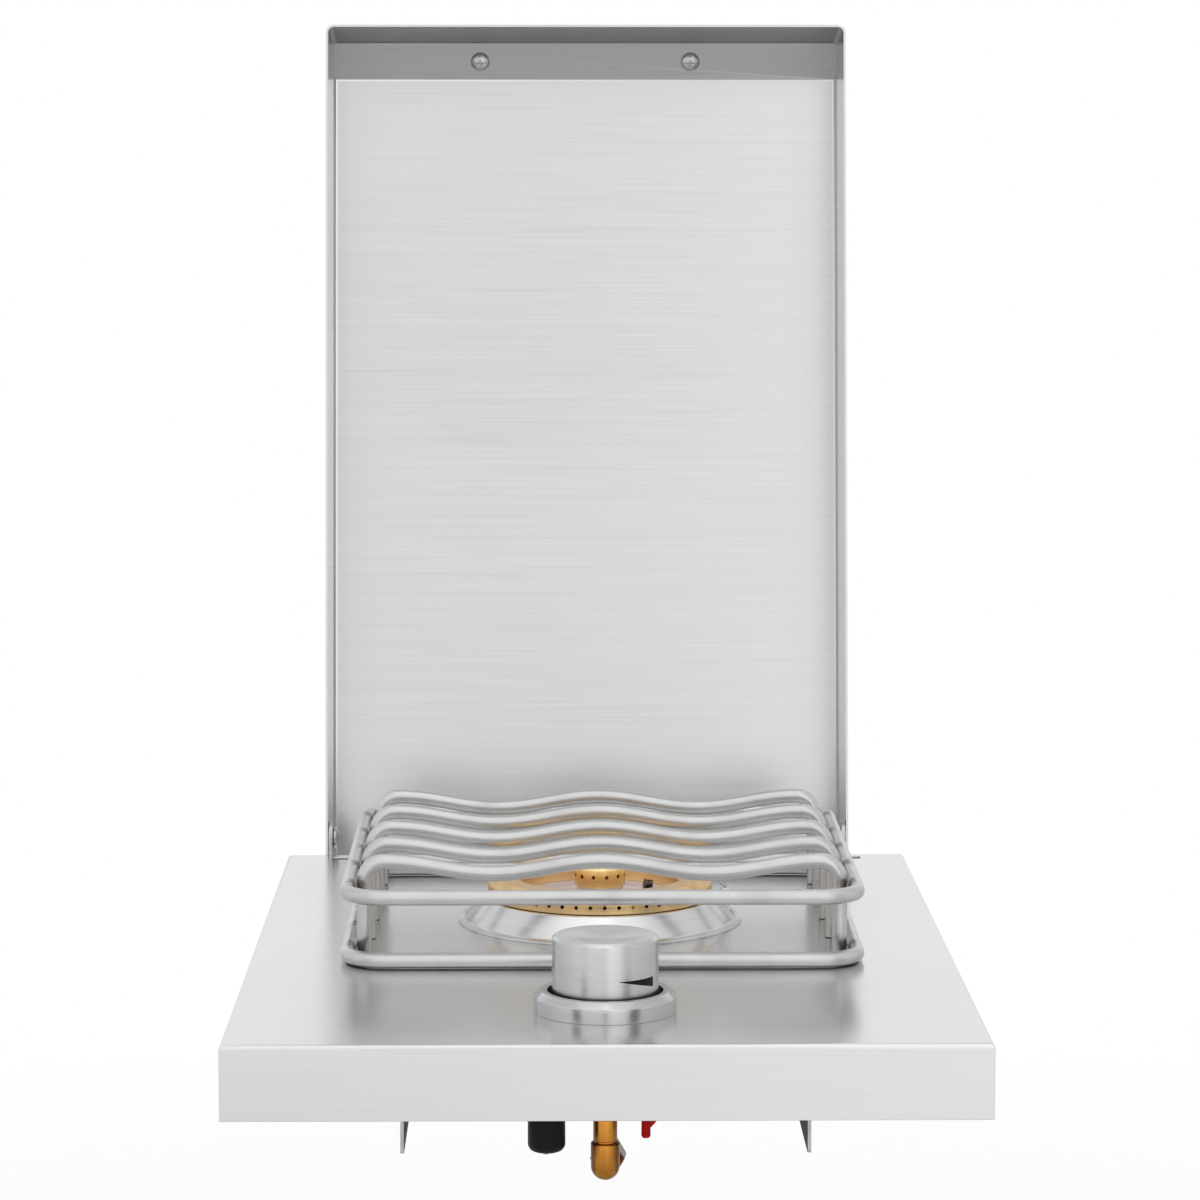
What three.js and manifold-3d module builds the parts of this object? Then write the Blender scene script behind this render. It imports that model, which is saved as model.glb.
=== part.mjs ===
// Built-in gas side burner: a drop-in steel deck with a hinged lid, one ring burner,
// a welded rod grate, a push-and-turn knob and a battery igniter. Millimetres, +Z up.
// The origin is the middle of the front hem's seat face, which rests on the counter.
// The lid stands open, leaning back on its stops.

import * as THREE from 'three';
import { mergeVertices } from 'three/addons/utils/BufferGeometryUtils.js';
import Module from 'manifold-3d';

const wasm = await Module();
wasm.setup();

// How finely round stretches are cut into flats
const fineSides = 36;
const mediumSides = 18;
const smallSides = 10;
const screwSides = 8;
const rodSides = 8;
const wireSides = 6;
const springSides = 5;
const springStepsPerTurn = 8;
const waveSteps = 12;
const arcSteps = 3;
const filletSteps = 3;

// Clearances shared by all fits
const seatGap = 0.3;
const slideGap = 0.4;
const cutOverrun = 5;

// Deck: a folded sheet tray, open underneath, with an inward hem that sits on the counter
const deckWidth = 317.5;
const deckDepth = 442;
const skirtHeight = 31.8;
const deckSheet = 1.2;
const deckEdgeRadius = 2;
const hemWidth = 12;
const ventLength = 16;
const ventWidth = 8;
const ventFromRear = 7;
const ventFromSide = 23;

// Burner, measured from its own axis
const burnerFromFront = 268;
const burnerHoleRadius = 49;
const potFlangeRadius = 55.5;
const potFlangeThickness = 1.5;
const potWallRadius = 46;
const potWall = 2.5;
const potRimRadius = 51;
const potRimHeight = 10;
const potShoulderDepth = 8;
const potBowlRadius = 30;
const potBowlDepth = 16;
const potNeckRadius = 13;
const potNeckTopDepth = 30;
const potNeckBottomDepth = 50;
const potFloor = 3;
const plateThickness = 2;
const plateRimRadius = 50.8;
const plateSlotRadius = 41.8;
const plateSlotWidth = 2.8;
const plateSlotCount = 6;
const plateSlotArcShare = 0.7;
const plateHubRadius = 9;
const plateRecess = 3;
const plateRecessRadius = 36.5;
const plateRibRadius = 26;
const plateRibWidth = 3;
const plateRibHeight = 1.2;
const hubRadius = 11;
const hubHeight = 7.5;
const ringOuterRadius = 53;
const ringInnerRadius = 37;
const ringHeight = 9;
const ringWall = 3.2;
const ringBevel = 3;
const ringPortCount = 36;
const ringPortSize = 2.2;
const ringPortHeight = 3;
const ringNotchWidth = 6;
const ringNotchHeight = 1.5;
const ringNotchTurn = 50;
const capRadius = 12;
const capTopRadius = 10.5;
const capHeight = 10.5;
const capBevelHeight = 2.2;
const capWall = 2.2;
const capPortCount = 12;
const capPortSize = 1.8;
const capPortHeight = 5.3;
const capSpigotLength = 5;
const capSpigotWall = 1.6;
const collarOuterRadius = 67;
const collarInnerRadius = 51.6;
const collarSheet = 0.9;
const collarRimWidth = 3;
const burnerScrewRadius = 2;
const burnerScrewHeadRadius = 2.1;

// Mixing tube, air shutter and gas jet
const mixerAxisDepth = 38;
const mixerRearRadius = 9.5;
const mixerThroatRadius = 7.5;
const mixerBellRadius = 13;
const mixerWall = 1.2;
const mixerBellLength = 16;
const mixerThroatLength = 26;
const shutterWall = 1;
const shutterLength = 12;
const shutterHoleRadius = 3;
const shutterHoleCount = 4;
const jetThreadRadius = 3.4;
const jetThreadLength = 5;
const jetHexAcross = 9;
const jetHexLength = 5;
const jetTipRadius = 2.6;
const jetTipLength = 7;
const jetBoreRadius = 0.9;

// Welded rod grate
const grateSize = 236;
const rodDiameter = 7;
const grateCornerRadius = 17;
const lowerLoopGap = 0.4;
const upperLoopRise = 32;
const barCount = 5;
const barSpacing = 45;
const barCrestHeight = 47.5;
const barWaveDepth = 5.6;
const barWaveCount = 2;
const barBendRadius = 9;

// Knob, its bezel and the stem
const knobFromFront = 67;
const bezelRadius = 30.5;
const bezelHeight = 9;
const bezelBevelWidth = 3;
const bezelBevelHeight = 2.6;
const bezelRecessRadius = 25.4;
const bezelFloor = 3;
const knobRadius = 22.7;
const knobTopHeight = 32.5;
const knobSkirtHeight = 8.6;
const knobWall = 1.3;
const knobCrown = 1.6;
const knobDish = 1.2;
const knobDishRadius = 17;
const knobChamfer = 1.4;
const coreTopThickness = 3;
const coreWall = 2;
const coreHubRadius = 7;
const coreRibCount = 4;
const coreRibThickness = 1.6;
const sealThickness = 1.5;
const stemRadius = 3;
const stemFlatDepth = 1;
const stemFlatLength = 12;
const stemTopHeight = 24;
const stemFootDepth = 33;
const stemCollarRadius = 5.5;
const stemCollarThickness = 1.5;
const stemCollarDepth = 8;
const washerThickness = 0.8;
const knobTravel = 3;
const springWire = 1.1;
const springRadius = 4.4;
const springTurns = 5;

// Control bracket under the deck: a bent sheet with a cross plate and two side plates
const bracketSheet = 1.5;
const bracketHalfWidth = 86.5;
const bracketFromFront = 45;
const bracketDrop = 57;
const bracketFootLength = 73;
const bracketTopLength = 105;
const bracketFlangeWidth = 12;
const crossPlateDepth = 24;
const crossPlateLength = 50;

// Gas valve, its screws, elbow and flare nut
const valveRadius = 10;
const valveFootDepth = 45;
const valveFlangeLength = 38;
const valveFlangeWidth = 16;
const valveFlangeThickness = 3;
const valveNeckRadius = 6.5;
const valveNeckRise = 1.5;
const valveOutletRadius = 6.5;
const valveOutletLength = 19;
const valveInletRadius = 6.5;
const valveInletLength = 2;
const valveInletBore = 3.5;
const valveScrewSpacing = 30;
const valveScrewRadius = 2;
const valveScrewHeadRadius = 3.8;
const valveScrewHeadHeight = 2.4;
const elbowNippleRadius = 5.15;
const elbowNippleLength = 10.3;
const elbowBodyRadius = 6.2;
const elbowBodyLength = 16.5;
const elbowFootSteps = 4;
const elbowBranchRadius = 4.5;
const elbowBranchLength = 20;
const elbowBranchTurn = 5;
const elbowBore = 2.6;
const nutAcross = 13;
const nutLength = 13;
const nutWall = 1.6;

// Igniter under the deck, beside the valve
const igniterOffset = 25;
const igniterFromFront = 64;
const igniterRadius = 8;
const igniterTopDepth = 6;
const igniterBodyLength = 39;
const igniterCapLength = 16.5;
const igniterBore = 5.7;
const igniterHead = 3;
const igniterNubShare = 0.55;
const igniterNubHeight = 0.8;
const igniterFlangeRadius = 11;
const igniterFlangeThickness = 2;
const igniterSpigotLength = 5;
const igniterSpigotWall = 0.9;
const batteryRadius = 5.25;
const batteryLength = 44.5;
const batteryNubRadius = 1.9;
const batteryNubLength = 0.8;
const contactSpringTurns = 2.5;
const contactSpringWire = 0.7;

// Trigger switch on the valve, its terminal boot and the two leads
const switchOffset = 17.3;
const switchWidth = 6.5;
const switchLength = 13;
const switchHeight = 10;
const bootRadius = 2;
const bootLength = 19.3;
const bootTipRadius = 1.5;
const bootNozzleRadius = 1.9;
const bootNozzleLength = 4.6;
const bootNozzleRise = 5;
const bootNozzleTilt = 45;
const terminalWidth = 2;
const terminalLength = 4;
const leadRadius = 1.25;
const leadSteps = 22;

// Spark electrode beside the burner ring
const electrodeOffset = 59.3;
const ceramicRadius = 2.5;
const ceramicTopHeight = 15;
const ceramicFootDepth = 18;
const ceramicShoulderRadius = 3.6;
const ceramicShoulderHeight = 3;
const electrodeHoleRadius = 3.2;
const tipWireRadius = 0.75;
const tipRise = 2.6;
const tipReach = 2.6;
const tipFoot = 3;
const clipLength = 22;
const clipWidth = 12;
const clipThickness = 1.2;

// Lid, drawn closed round its hinge pin; front is the handle end
const lidSideMargin = 23.55;
const lidSideShift = -4.5;
const lidSheet = 1.2;
const lidPanelHeight = 61;
const lidFrontHeight = 52;
const lidBevelReach = 20;
const lidReach = 422.3;
const lidTail = 17;
const lidCornerRadius = 4;
const lidFoldRadius = 3;
const lidEdgeBelowPin = 6.5;
const lidRearOpening = 22;
const lidOpenAngle = 98;

// Hinge brackets, pins and stop pads behind the deck
const pinHeight = 7;
const pinBehindDeck = 10;
const pinRadius = 3;
const pinHeadRadius = 5.5;
const pinHeadThickness = 2.6;
const earThickness = 2;
const earRadius = 9;
const earFootDepth = 26;
const hingeBaseWidth = 30;
const hingeBaseTopDepth = 4;
const hingeScrewRadius = 2;
const hingeScrewHeadRadius = 3.6;
const hingeScrewHeadHeight = 2.2;
const hingeScrewLength = 7;
const stopPadWidth = 6;
const stopPadHeight = 6;
const stopPadThickness = 1;
const stopPadTopDepth = 2;

// Lid handle: a round bar on two posts, held by dome-head screws from inside the lid
const handleBarRadius = 8;
const handleBarLength = 160;
const handleBarEndRadius = 2;
const handleStandOff = 30;
const handlePostSpacing = 112;
const handlePostRadius = 5;
const handlePostFootRadius = 8;
const handlePostFootHeight = 3;
const handleScrewRadius = 2.2;
const handleScrewDepth = 14;
const handleScrewHeadRadius = 5;
const handleScrewHeadHeight = 2.8;

// Finishes
const finishes = {
  brushedSteel: { color: 0xc9cbcb, roughness: 0.34, metalness: 1 },
  polishedSteel: { color: 0xe3e5e6, roughness: 0.14, metalness: 1 },
  chromedRod: { color: 0xdfe2e3, roughness: 0.18, metalness: 1 },
  galvanised: { color: 0xa9adae, roughness: 0.45, metalness: 0.9 },
  brass: { color: 0xc9a24a, roughness: 0.3, metalness: 1 },
  castAluminium: { color: 0xa9a6a2, roughness: 0.55, metalness: 0.85 },
  blackPlastic: { color: 0x18181a, roughness: 0.5, metalness: 0 },
  blackRubber: { color: 0x131314, roughness: 0.85, metalness: 0 },
  redSleeve: { color: 0xb3241c, roughness: 0.55, metalness: 0 },
  ceramic: { color: 0xf0eee8, roughness: 0.35, metalness: 0 },
  battery: { color: 0x8c9094, roughness: 0.4, metalness: 0.4 },
};
const finishMaterials = new Map();

function finish(name) {
  if (!finishMaterials.has(name)) {
    finishMaterials.set(name, new THREE.MeshStandardMaterial(finishes[name]));
  }
  return finishMaterials.get(name);
}

// Solids from geometries and back

const weldDistance = 1e-4;

function signedVolume(position, index) {
  const a = new THREE.Vector3();
  const b = new THREE.Vector3();
  const c = new THREE.Vector3();
  let sum = 0;
  for (let i = 0; i < index.length; i += 3) {
    a.fromBufferAttribute(position, index[i]);
    b.fromBufferAttribute(position, index[i + 1]);
    c.fromBufferAttribute(position, index[i + 2]);
    sum += a.dot(b.cross(c));
  }
  return sum;
}

function toSolid(geometry) {
  const bare = geometry.clone();
  bare.deleteAttribute('normal');
  bare.deleteAttribute('uv');
  const merged = mergeVertices(bare, weldDistance);
  const source = merged.index.array;
  const faces = [];
  for (let i = 0; i < source.length; i += 3) {
    const corners = [source[i], source[i + 1], source[i + 2]];
    if (new Set(corners).size === corners.length) faces.push(...corners);
  }
  if (signedVolume(merged.attributes.position, faces) < 0) faces.reverse();
  return new wasm.Manifold(new wasm.Mesh({
    numProp: 3,
    vertProperties: new Float32Array(merged.attributes.position.array),
    triVerts: new Uint32Array(faces),
  }));
}

function toGeometry(solid) {
  const mesh = solid.getMesh();
  const geometry = new THREE.BufferGeometry();
  geometry.setAttribute('position', new THREE.BufferAttribute(mesh.vertProperties, mesh.numProp));
  geometry.setIndex(new THREE.BufferAttribute(mesh.triVerts, 1));
  geometry.computeVertexNormals();
  return geometry;
}

function join(...solids) {
  return solids.reduce((whole, piece) => whole.add(piece));
}

function cut(body, ...tools) {
  return tools.reduce((left, tool) => left.subtract(tool), body);
}

// Basic forms, each returned as a solid in place

const quarterTurn = Math.PI / 2;
const fullTurn = Math.PI * 2;

function block(x0, x1, y0, y1, z0, z1) {
  const geometry = new THREE.BoxGeometry(x1 - x0, y1 - y0, z1 - z0);
  geometry.translate((x0 + x1) / 2, (y0 + y1) / 2, (z0 + z1) / 2);
  return toSolid(geometry);
}

// A revolve about +Z through (x, y); the profile is a list of [radius, height]
function revolve(profile, sides, x = 0, y = 0) {
  const points = profile.map(([radius, height]) => new THREE.Vector2(radius, height));
  const geometry = new THREE.LatheGeometry(points, sides);
  geometry.rotateX(quarterTurn);
  geometry.translate(x, y, 0);
  return toSolid(geometry);
}

// A revolve about a line along +Y through (x, z); the profile is a list of [radius, y]
function revolveAlongY(profile, sides, x, z) {
  const points = profile.map(([radius, along]) => new THREE.Vector2(radius, along));
  const geometry = new THREE.LatheGeometry(points, sides);
  geometry.translate(x, 0, z);
  return toSolid(geometry);
}

// A revolve about a line along +X through (y, z); the profile is a list of [radius, x]
function revolveAlongX(profile, sides, y, z) {
  const points = profile.map(([radius, along]) => new THREE.Vector2(radius, along));
  const geometry = new THREE.LatheGeometry(points, sides);
  geometry.rotateZ(-quarterTurn);
  geometry.translate(0, y, z);
  return toSolid(geometry);
}

function barProfile(radius, from, to) {
  return [[0, from], [radius, from], [radius, to], [0, to]];
}

function ringProfile(inner, outer, from, to) {
  return [[inner, from], [outer, from], [outer, to], [inner, to], [inner, from]];
}

function post(radius, z0, z1, x = 0, y = 0, sides = smallSides) {
  return revolve(barProfile(radius, z0, z1), sides, x, y);
}

// Holes: their flats lie outside the stated radius, so a round pin of that radius passes
function drill(radius, z0, z1, x = 0, y = 0, sides = smallSides) {
  return post(radius / Math.cos(Math.PI / sides), z0, z1, x, y, sides);
}

function drillAlongY(radius, y0, y1, x, z, sides = smallSides) {
  return revolveAlongY(barProfile(radius / Math.cos(Math.PI / sides), y0, y1), sides, x, z);
}

function drillAlongX(radius, x0, x1, y, z, sides = smallSides) {
  return revolveAlongX(barProfile(radius / Math.cos(Math.PI / sides), x0, x1), sides, y, z);
}

// An outline in the X-Z plane pushed along +Y, in the Y-Z plane along +X, or X-Y along +Z
function pushAlongY(shape, y0, y1) {
  const geometry = new THREE.ExtrudeGeometry(shape, { depth: y1 - y0, bevelEnabled: false });
  geometry.rotateX(quarterTurn);
  geometry.translate(0, y1, 0);
  return toSolid(geometry);
}

function pushAlongX(shape, x0, x1) {
  const geometry = new THREE.ExtrudeGeometry(shape, { depth: x1 - x0, bevelEnabled: false });
  geometry.rotateX(quarterTurn);
  geometry.rotateZ(quarterTurn);
  geometry.translate(x0, 0, 0);
  return toSolid(geometry);
}

function pushAlongZ(shape, z0, z1) {
  const geometry = new THREE.ExtrudeGeometry(shape, { depth: z1 - z0, bevelEnabled: false });
  geometry.translate(0, 0, z0);
  return toSolid(geometry);
}

// A closed outline through the corners, each rounded by its own radius: [u, v, radius]
function roundedOutline(corners, steps = filletSteps) {
  const points = [];
  corners.forEach(([u, v, radius], i) => {
    const corner = new THREE.Vector2(u, v);
    if (!radius) {
      points.push(corner);
      return;
    }
    const before = corners[(i + corners.length - 1) % corners.length];
    const after = corners[(i + 1) % corners.length];
    const back = new THREE.Vector2(before[0], before[1]).sub(corner).normalize();
    const ahead = new THREE.Vector2(after[0], after[1]).sub(corner).normalize();
    const halfAngle = Math.acos(THREE.MathUtils.clamp(back.dot(ahead), -1, 1)) / 2;
    const toTangent = radius / Math.tan(halfAngle);
    const start = back.clone().multiplyScalar(toTangent);
    const end = ahead.clone().multiplyScalar(toTangent);
    const centre = back.clone().add(ahead).normalize().multiplyScalar(radius / Math.sin(halfAngle));
    const from = start.sub(centre);
    const to = end.sub(centre);
    const turn = Math.atan2(from.x * to.y - from.y * to.x, from.dot(to));
    for (let s = 0; s <= steps; s += 1) {
      const spoke = from.clone().rotateAround(new THREE.Vector2(), turn * s / steps);
      points.push(spoke.add(centre).add(corner));
    }
  });
  return new THREE.Shape(points);
}

function circleOutline(radius, sides) {
  const points = [];
  for (let i = 0; i < sides; i += 1) {
    const angle = fullTurn * i / sides;
    points.push(new THREE.Vector2(Math.cos(angle) * radius, Math.sin(angle) * radius));
  }
  return new THREE.Shape(points);
}

function hexOutline(across) {
  const sides = 6;
  return circleOutline(across / 2 / Math.cos(Math.PI / sides), sides);
}

// A path through given stations, so that bends get the steps and straights need none
class StationPath extends THREE.Curve {
  constructor(stations) {
    super();
    this.stations = stations;
  }

  getPoint(t, target = new THREE.Vector3()) {
    const last = this.stations.length - 1;
    const place = THREE.MathUtils.clamp(t, 0, 1) * last;
    const low = Math.min(Math.floor(place), last - 1);
    return target.lerpVectors(this.stations[low], this.stations[low + 1], place - low);
  }

  getPointAt(u, target) {
    return this.getPoint(u, target);
  }

  getTangentAt(u, target = new THREE.Vector3()) {
    const last = this.stations.length - 1;
    const here = Math.round(u * last);
    const towards = this.stations[Math.min(here + 1, last)].clone();
    const away = this.stations[here].clone();
    const behind = this.stations[Math.max(here - 1, 0)].clone();
    const ahead = towards.sub(away).normalize();
    return target.copy(away.sub(behind).normalize().add(ahead)).normalize();
  }
}

function sweep(stations, radius, sides) {
  const path = new StationPath(stations);
  const geometry = new THREE.ExtrudeGeometry(circleOutline(radius, sides), {
    steps: stations.length - 1,
    extrudePath: path,
    bevelEnabled: false,
  });
  return toSolid(geometry);
}

function vec(x, y, z) {
  return new THREE.Vector3(x, y, z);
}

// A soft line through hand-placed points, taken at even steps, with its two ends left straight
function leadStations(points) {
  const middle = new THREE.CatmullRomCurve3(points.slice(1, -1), false, 'centripetal');
  return [points[0], ...middle.getSpacedPoints(leadSteps), points[points.length - 1]];
}

function helix(x, y, z0, z1, radius, turns) {
  const steps = Math.round(turns * springStepsPerTurn);
  const stations = [];
  for (let i = 0; i <= steps; i += 1) {
    const angle = fullTurn * turns * i / steps;
    const z = THREE.MathUtils.lerp(z0, z1, i / steps);
    stations.push(vec(x + Math.cos(angle) * radius, y + Math.sin(angle) * radius, z));
  }
  return stations;
}

// The scene graph: heights below are from the deck's top face, depths from its front face
const sideBurner = new THREE.Group();
const unit = new THREE.Group();
unit.position.set(0, -hemWidth / 2, skirtHeight);
sideBurner.add(unit);

function place(name, solid, finishName, parent = unit) {
  const mesh = new THREE.Mesh(toGeometry(solid), finish(finishName));
  mesh.name = name;
  parent.add(mesh);
}

// Sizes that several pieces share
const deckHalf = deckWidth / 2;
const rodRadius = rodDiameter / 2;
const crossPlateTop = -crossPlateDepth;
const crossPlateUnderside = crossPlateTop - bracketSheet;
const mixerZ = -mixerAxisDepth;
const pinY = deckDepth + pinBehindDeck;
const lidHalf = deckHalf - lidSideMargin;
const valveOutletEnd = knobFromFront + valveRadius + valveOutletLength - valveOutletRadius;
const potRimTop = potRimHeight;
const plateTopHeight = potRimTop + plateThickness;
const ringBase = plateTopHeight;
const ringTop = ringBase + ringHeight;
const recessFloor = plateTopHeight - plateRecess;
const capBase = recessFloor + hubHeight;
const collarRise = ringBase - seatGap - collarSheet;

// Deck

function deckCutters() {
  const cutters = [];
  const through = [-deckSheet - cutOverrun, cutOverrun];
  cutters.push(drill(burnerHoleRadius, ...through, 0, burnerFromFront, fineSides));
  cutters.push(drill(stemCollarRadius + slideGap, ...through, 0, knobFromFront));
  cutters.push(drill(electrodeHoleRadius, ...through, electrodeOffset, burnerFromFront));
  for (const side of [-1, 1]) {
    const x = side * (deckHalf - ventFromSide - ventLength / 2);
    const y = deckDepth - ventFromRear - ventWidth / 2;
    const halfX = ventLength / 2;
    const halfY = ventWidth / 2;
    const slot = roundedOutline([
      [x - halfX, y - halfY, halfY / 2],
      [x + halfX, y - halfY, halfY / 2],
      [x + halfX, y + halfY, halfY / 2],
      [x - halfX, y + halfY, halfY / 2],
    ]);
    cutters.push(pushAlongZ(slot, ...through));
  }
  for (const screw of burnerScrewPlaces()) {
    cutters.push(drill(burnerScrewRadius + slideGap, ...through, screw.x, screw.y));
  }
  for (const screw of hingeScrewPlaces()) {
    const from = deckDepth - cutOverrun;
    cutters.push(drillAlongY(hingeScrewRadius + slideGap,
      from, deckDepth + cutOverrun, screw.x, screw.z));
  }
  return cutters;
}

function makeDeck() {
  const r = deckEdgeRadius;
  const inner = Math.max(r - deckSheet, 0);
  const sideProfile = roundedOutline([
    [0, -skirtHeight, 0], [deckDepth, -skirtHeight, 0], [deckDepth, 0, r], [0, 0, r],
  ]);
  const frontProfile = roundedOutline([
    [-deckHalf, -skirtHeight, 0], [deckHalf, -skirtHeight, 0], [deckHalf, 0, r], [-deckHalf, 0, r],
  ]);
  const outside = pushAlongX(sideProfile, -deckHalf, deckHalf)
    .intersect(pushAlongY(frontProfile, 0, deckDepth));
  const s = deckSheet;
  const floor = -skirtHeight + s;
  const sideHollow = roundedOutline([
    [s, floor, 0], [deckDepth - s, floor, 0], [deckDepth - s, -s, inner], [s, -s, inner],
  ]);
  const frontHollow = roundedOutline([
    [-deckHalf + s, floor, 0], [deckHalf - s, floor, 0],
    [deckHalf - s, -s, inner], [-deckHalf + s, -s, inner],
  ]);
  const hollow = pushAlongX(sideHollow, -deckHalf, deckHalf)
    .intersect(pushAlongY(frontHollow, 0, deckDepth));
  const mouth = block(
    -deckHalf + hemWidth, deckHalf - hemWidth,
    hemWidth, deckDepth - hemWidth,
    -skirtHeight - cutOverrun, floor + s,
  );
  place('deck', cut(outside, hollow, mouth, ...deckCutters()), 'brushedSteel');
}

// Grate

function rodLoop(z) {
  const half = grateSize / 2 - rodRadius;
  const bend = grateCornerRadius;
  const run = half - bend;
  const pieces = [];
  const quarterSegments = arcSteps * 4;
  for (const sx of [-1, 1]) {
    pieces.push(revolveAlongY(barProfile(rodRadius, -run, run), rodSides, sx * half, 0));
    pieces.push(revolveAlongX(barProfile(rodRadius, -run, run), rodSides, sx * half, 0));
    for (const sy of [-1, 1]) {
      const torus = new THREE.TorusGeometry(bend, rodRadius, rodSides, quarterSegments);
      const x0 = sx > 0 ? 0 : -bend - cutOverrun;
      const y0 = sy > 0 ? 0 : -bend - cutOverrun;
      const reach = bend + cutOverrun;
      const quadrant = block(x0, x0 + reach, y0, y0 + reach, -cutOverrun, cutOverrun);
      pieces.push(toSolid(torus).intersect(quadrant).translate([sx * run, sy * run, 0]));
    }
  }
  return join(...pieces).translate([0, burnerFromFront, z]);
}

function barStations(y) {
  const legX = grateSize / 2 - rodDiameter - seatGap - rodRadius;
  const crest = barCrestHeight - rodRadius;
  const swing = barWaveDepth / 2;
  const bend = barBendRadius;
  const flat = legX - bend;
  const stations = [vec(-legX, y, lowerLoopGap)];
  for (let i = 0; i <= arcSteps; i += 1) {
    const angle = quarterTurn * i / arcSteps;
    stations.push(vec(-flat - Math.cos(angle) * bend, y, crest - bend + Math.sin(angle) * bend));
  }
  for (let i = 1; i < waveSteps; i += 1) {
    const share = i / waveSteps;
    const x = THREE.MathUtils.lerp(-flat, flat, share);
    const z = crest - swing + swing * Math.cos(fullTurn * barWaveCount * share);
    stations.push(vec(x, y, z));
  }
  for (let i = arcSteps; i >= 0; i -= 1) {
    const angle = quarterTurn * i / arcSteps;
    stations.push(vec(flat + Math.cos(angle) * bend, y, crest - bend + Math.sin(angle) * bend));
  }
  stations.push(vec(legX, y, lowerLoopGap));
  return stations;
}

function makeGrate() {
  place('grate_lower_loop', rodLoop(lowerLoopGap + rodRadius), 'chromedRod');
  place('grate_upper_loop', rodLoop(upperLoopRise), 'chromedRod');
  for (let i = 0; i < barCount; i += 1) {
    const y = burnerFromFront + (i - (barCount - 1) / 2) * barSpacing;
    place(`grate_bar_${i + 1}`, sweep(barStations(y), rodRadius, rodSides), 'chromedRod');
  }
}

// Burner

function burnerScrewPlaces() {
  const radius = (burnerHoleRadius + potFlangeRadius) / 2;
  const count = 2;
  const places = [];
  for (let i = 0; i < count; i += 1) {
    const angle = quarterTurn + fullTurn * i / count;
    places.push({
      x: Math.cos(angle) * radius,
      y: burnerFromFront + Math.sin(angle) * radius,
    });
  }
  return places;
}

function makeBurnerPot() {
  const inside = potWallRadius - potWall;
  const body = revolve([
    [0, -potNeckBottomDepth],
    [potNeckRadius, -potNeckBottomDepth],
    [potNeckRadius, -potNeckTopDepth],
    [potBowlRadius, -potBowlDepth],
    [potWallRadius, -potShoulderDepth],
    [potWallRadius, 0],
    [potFlangeRadius, 0],
    [potFlangeRadius, potFlangeThickness],
    [potWallRadius, potFlangeThickness],
    [potWallRadius, potRimTop - potWall],
    [potRimRadius, potRimTop - potWall / 2],
    [potRimRadius, potRimTop],
    [inside, potRimTop],
    [inside, -potShoulderDepth + potWall],
    [potBowlRadius - potWall, -potBowlDepth + potWall],
    [potNeckRadius - potWall, -potNeckTopDepth + potWall],
    [potNeckRadius - potWall, -potNeckBottomDepth + potFloor],
    [0, -potNeckBottomDepth + potFloor],
  ], mediumSides, 0, burnerFromFront);
  const inletStart = burnerFromFront - potNeckRadius - cutOverrun;
  const cutters = [drillAlongY(mixerRearRadius + seatGap, inletStart, burnerFromFront, 0, mixerZ)];
  for (const screw of burnerScrewPlaces()) {
    cutters.push(drill(burnerScrewRadius + slideGap, -cutOverrun, cutOverrun, screw.x, screw.y));
  }
  place('burner_pot', cut(body, ...cutters), 'castAluminium');
}

function makeBurnerPlate() {
  const low = recessFloor;
  const underside = low - plateThickness;
  const wallOutside = plateRecessRadius + plateThickness;
  const disc = revolve([
    [plateHubRadius, underside],
    [wallOutside, underside],
    [wallOutside, potRimTop],
    [plateRimRadius, potRimTop],
    [plateRimRadius, plateTopHeight],
    [plateRecessRadius, plateTopHeight],
    [plateRecessRadius, low],
    [plateRibRadius + plateRibWidth / 2, low],
    [plateRibRadius, low + plateRibHeight],
    [plateRibRadius - plateRibWidth / 2, low],
    [plateHubRadius, low],
    [plateHubRadius, underside],
  ], mediumSides, 0, burnerFromFront);
  const slots = [];
  const arc = fullTurn / plateSlotCount * plateSlotArcShare;
  for (let i = 0; i < plateSlotCount; i += 1) {
    const start = fullTurn * i / plateSlotCount;
    const shape = new THREE.Shape();
    const outer = plateSlotRadius + plateSlotWidth / 2;
    const inner = plateSlotRadius - plateSlotWidth / 2;
    shape.absarc(0, 0, outer, start, start + arc, false);
    shape.absarc(0, 0, inner, start + arc, start, true);
    const geometry = new THREE.ExtrudeGeometry(shape, {
      depth: plateThickness + cutOverrun * 2, bevelEnabled: false, curveSegments: arcSteps,
    });
    geometry.translate(0, burnerFromFront, potRimTop - cutOverrun);
    slots.push(toSolid(geometry));
  }
  const notch = notchBlock(low, plateTopHeight + cutOverrun);
  place('burner_plate', cut(disc, ...slots, notch), 'castAluminium');

  const hub = ringProfile(plateHubRadius, hubRadius, low, capBase);
  place('burner_hub', revolve(hub, mediumSides, 0, burnerFromFront), 'castAluminium');
}

// The passage that runs through the plate's inner wall and under the ring's inner wall
function notchBlock(z0, z1) {
  const half = ringNotchWidth / 2;
  return block(plateRecessRadius - ringWall, plateRecessRadius + ringWall * 2, -half, half, z0, z1)
    .rotate([0, 0, ringNotchTurn]).translate([0, burnerFromFront, 0]);
}

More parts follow.
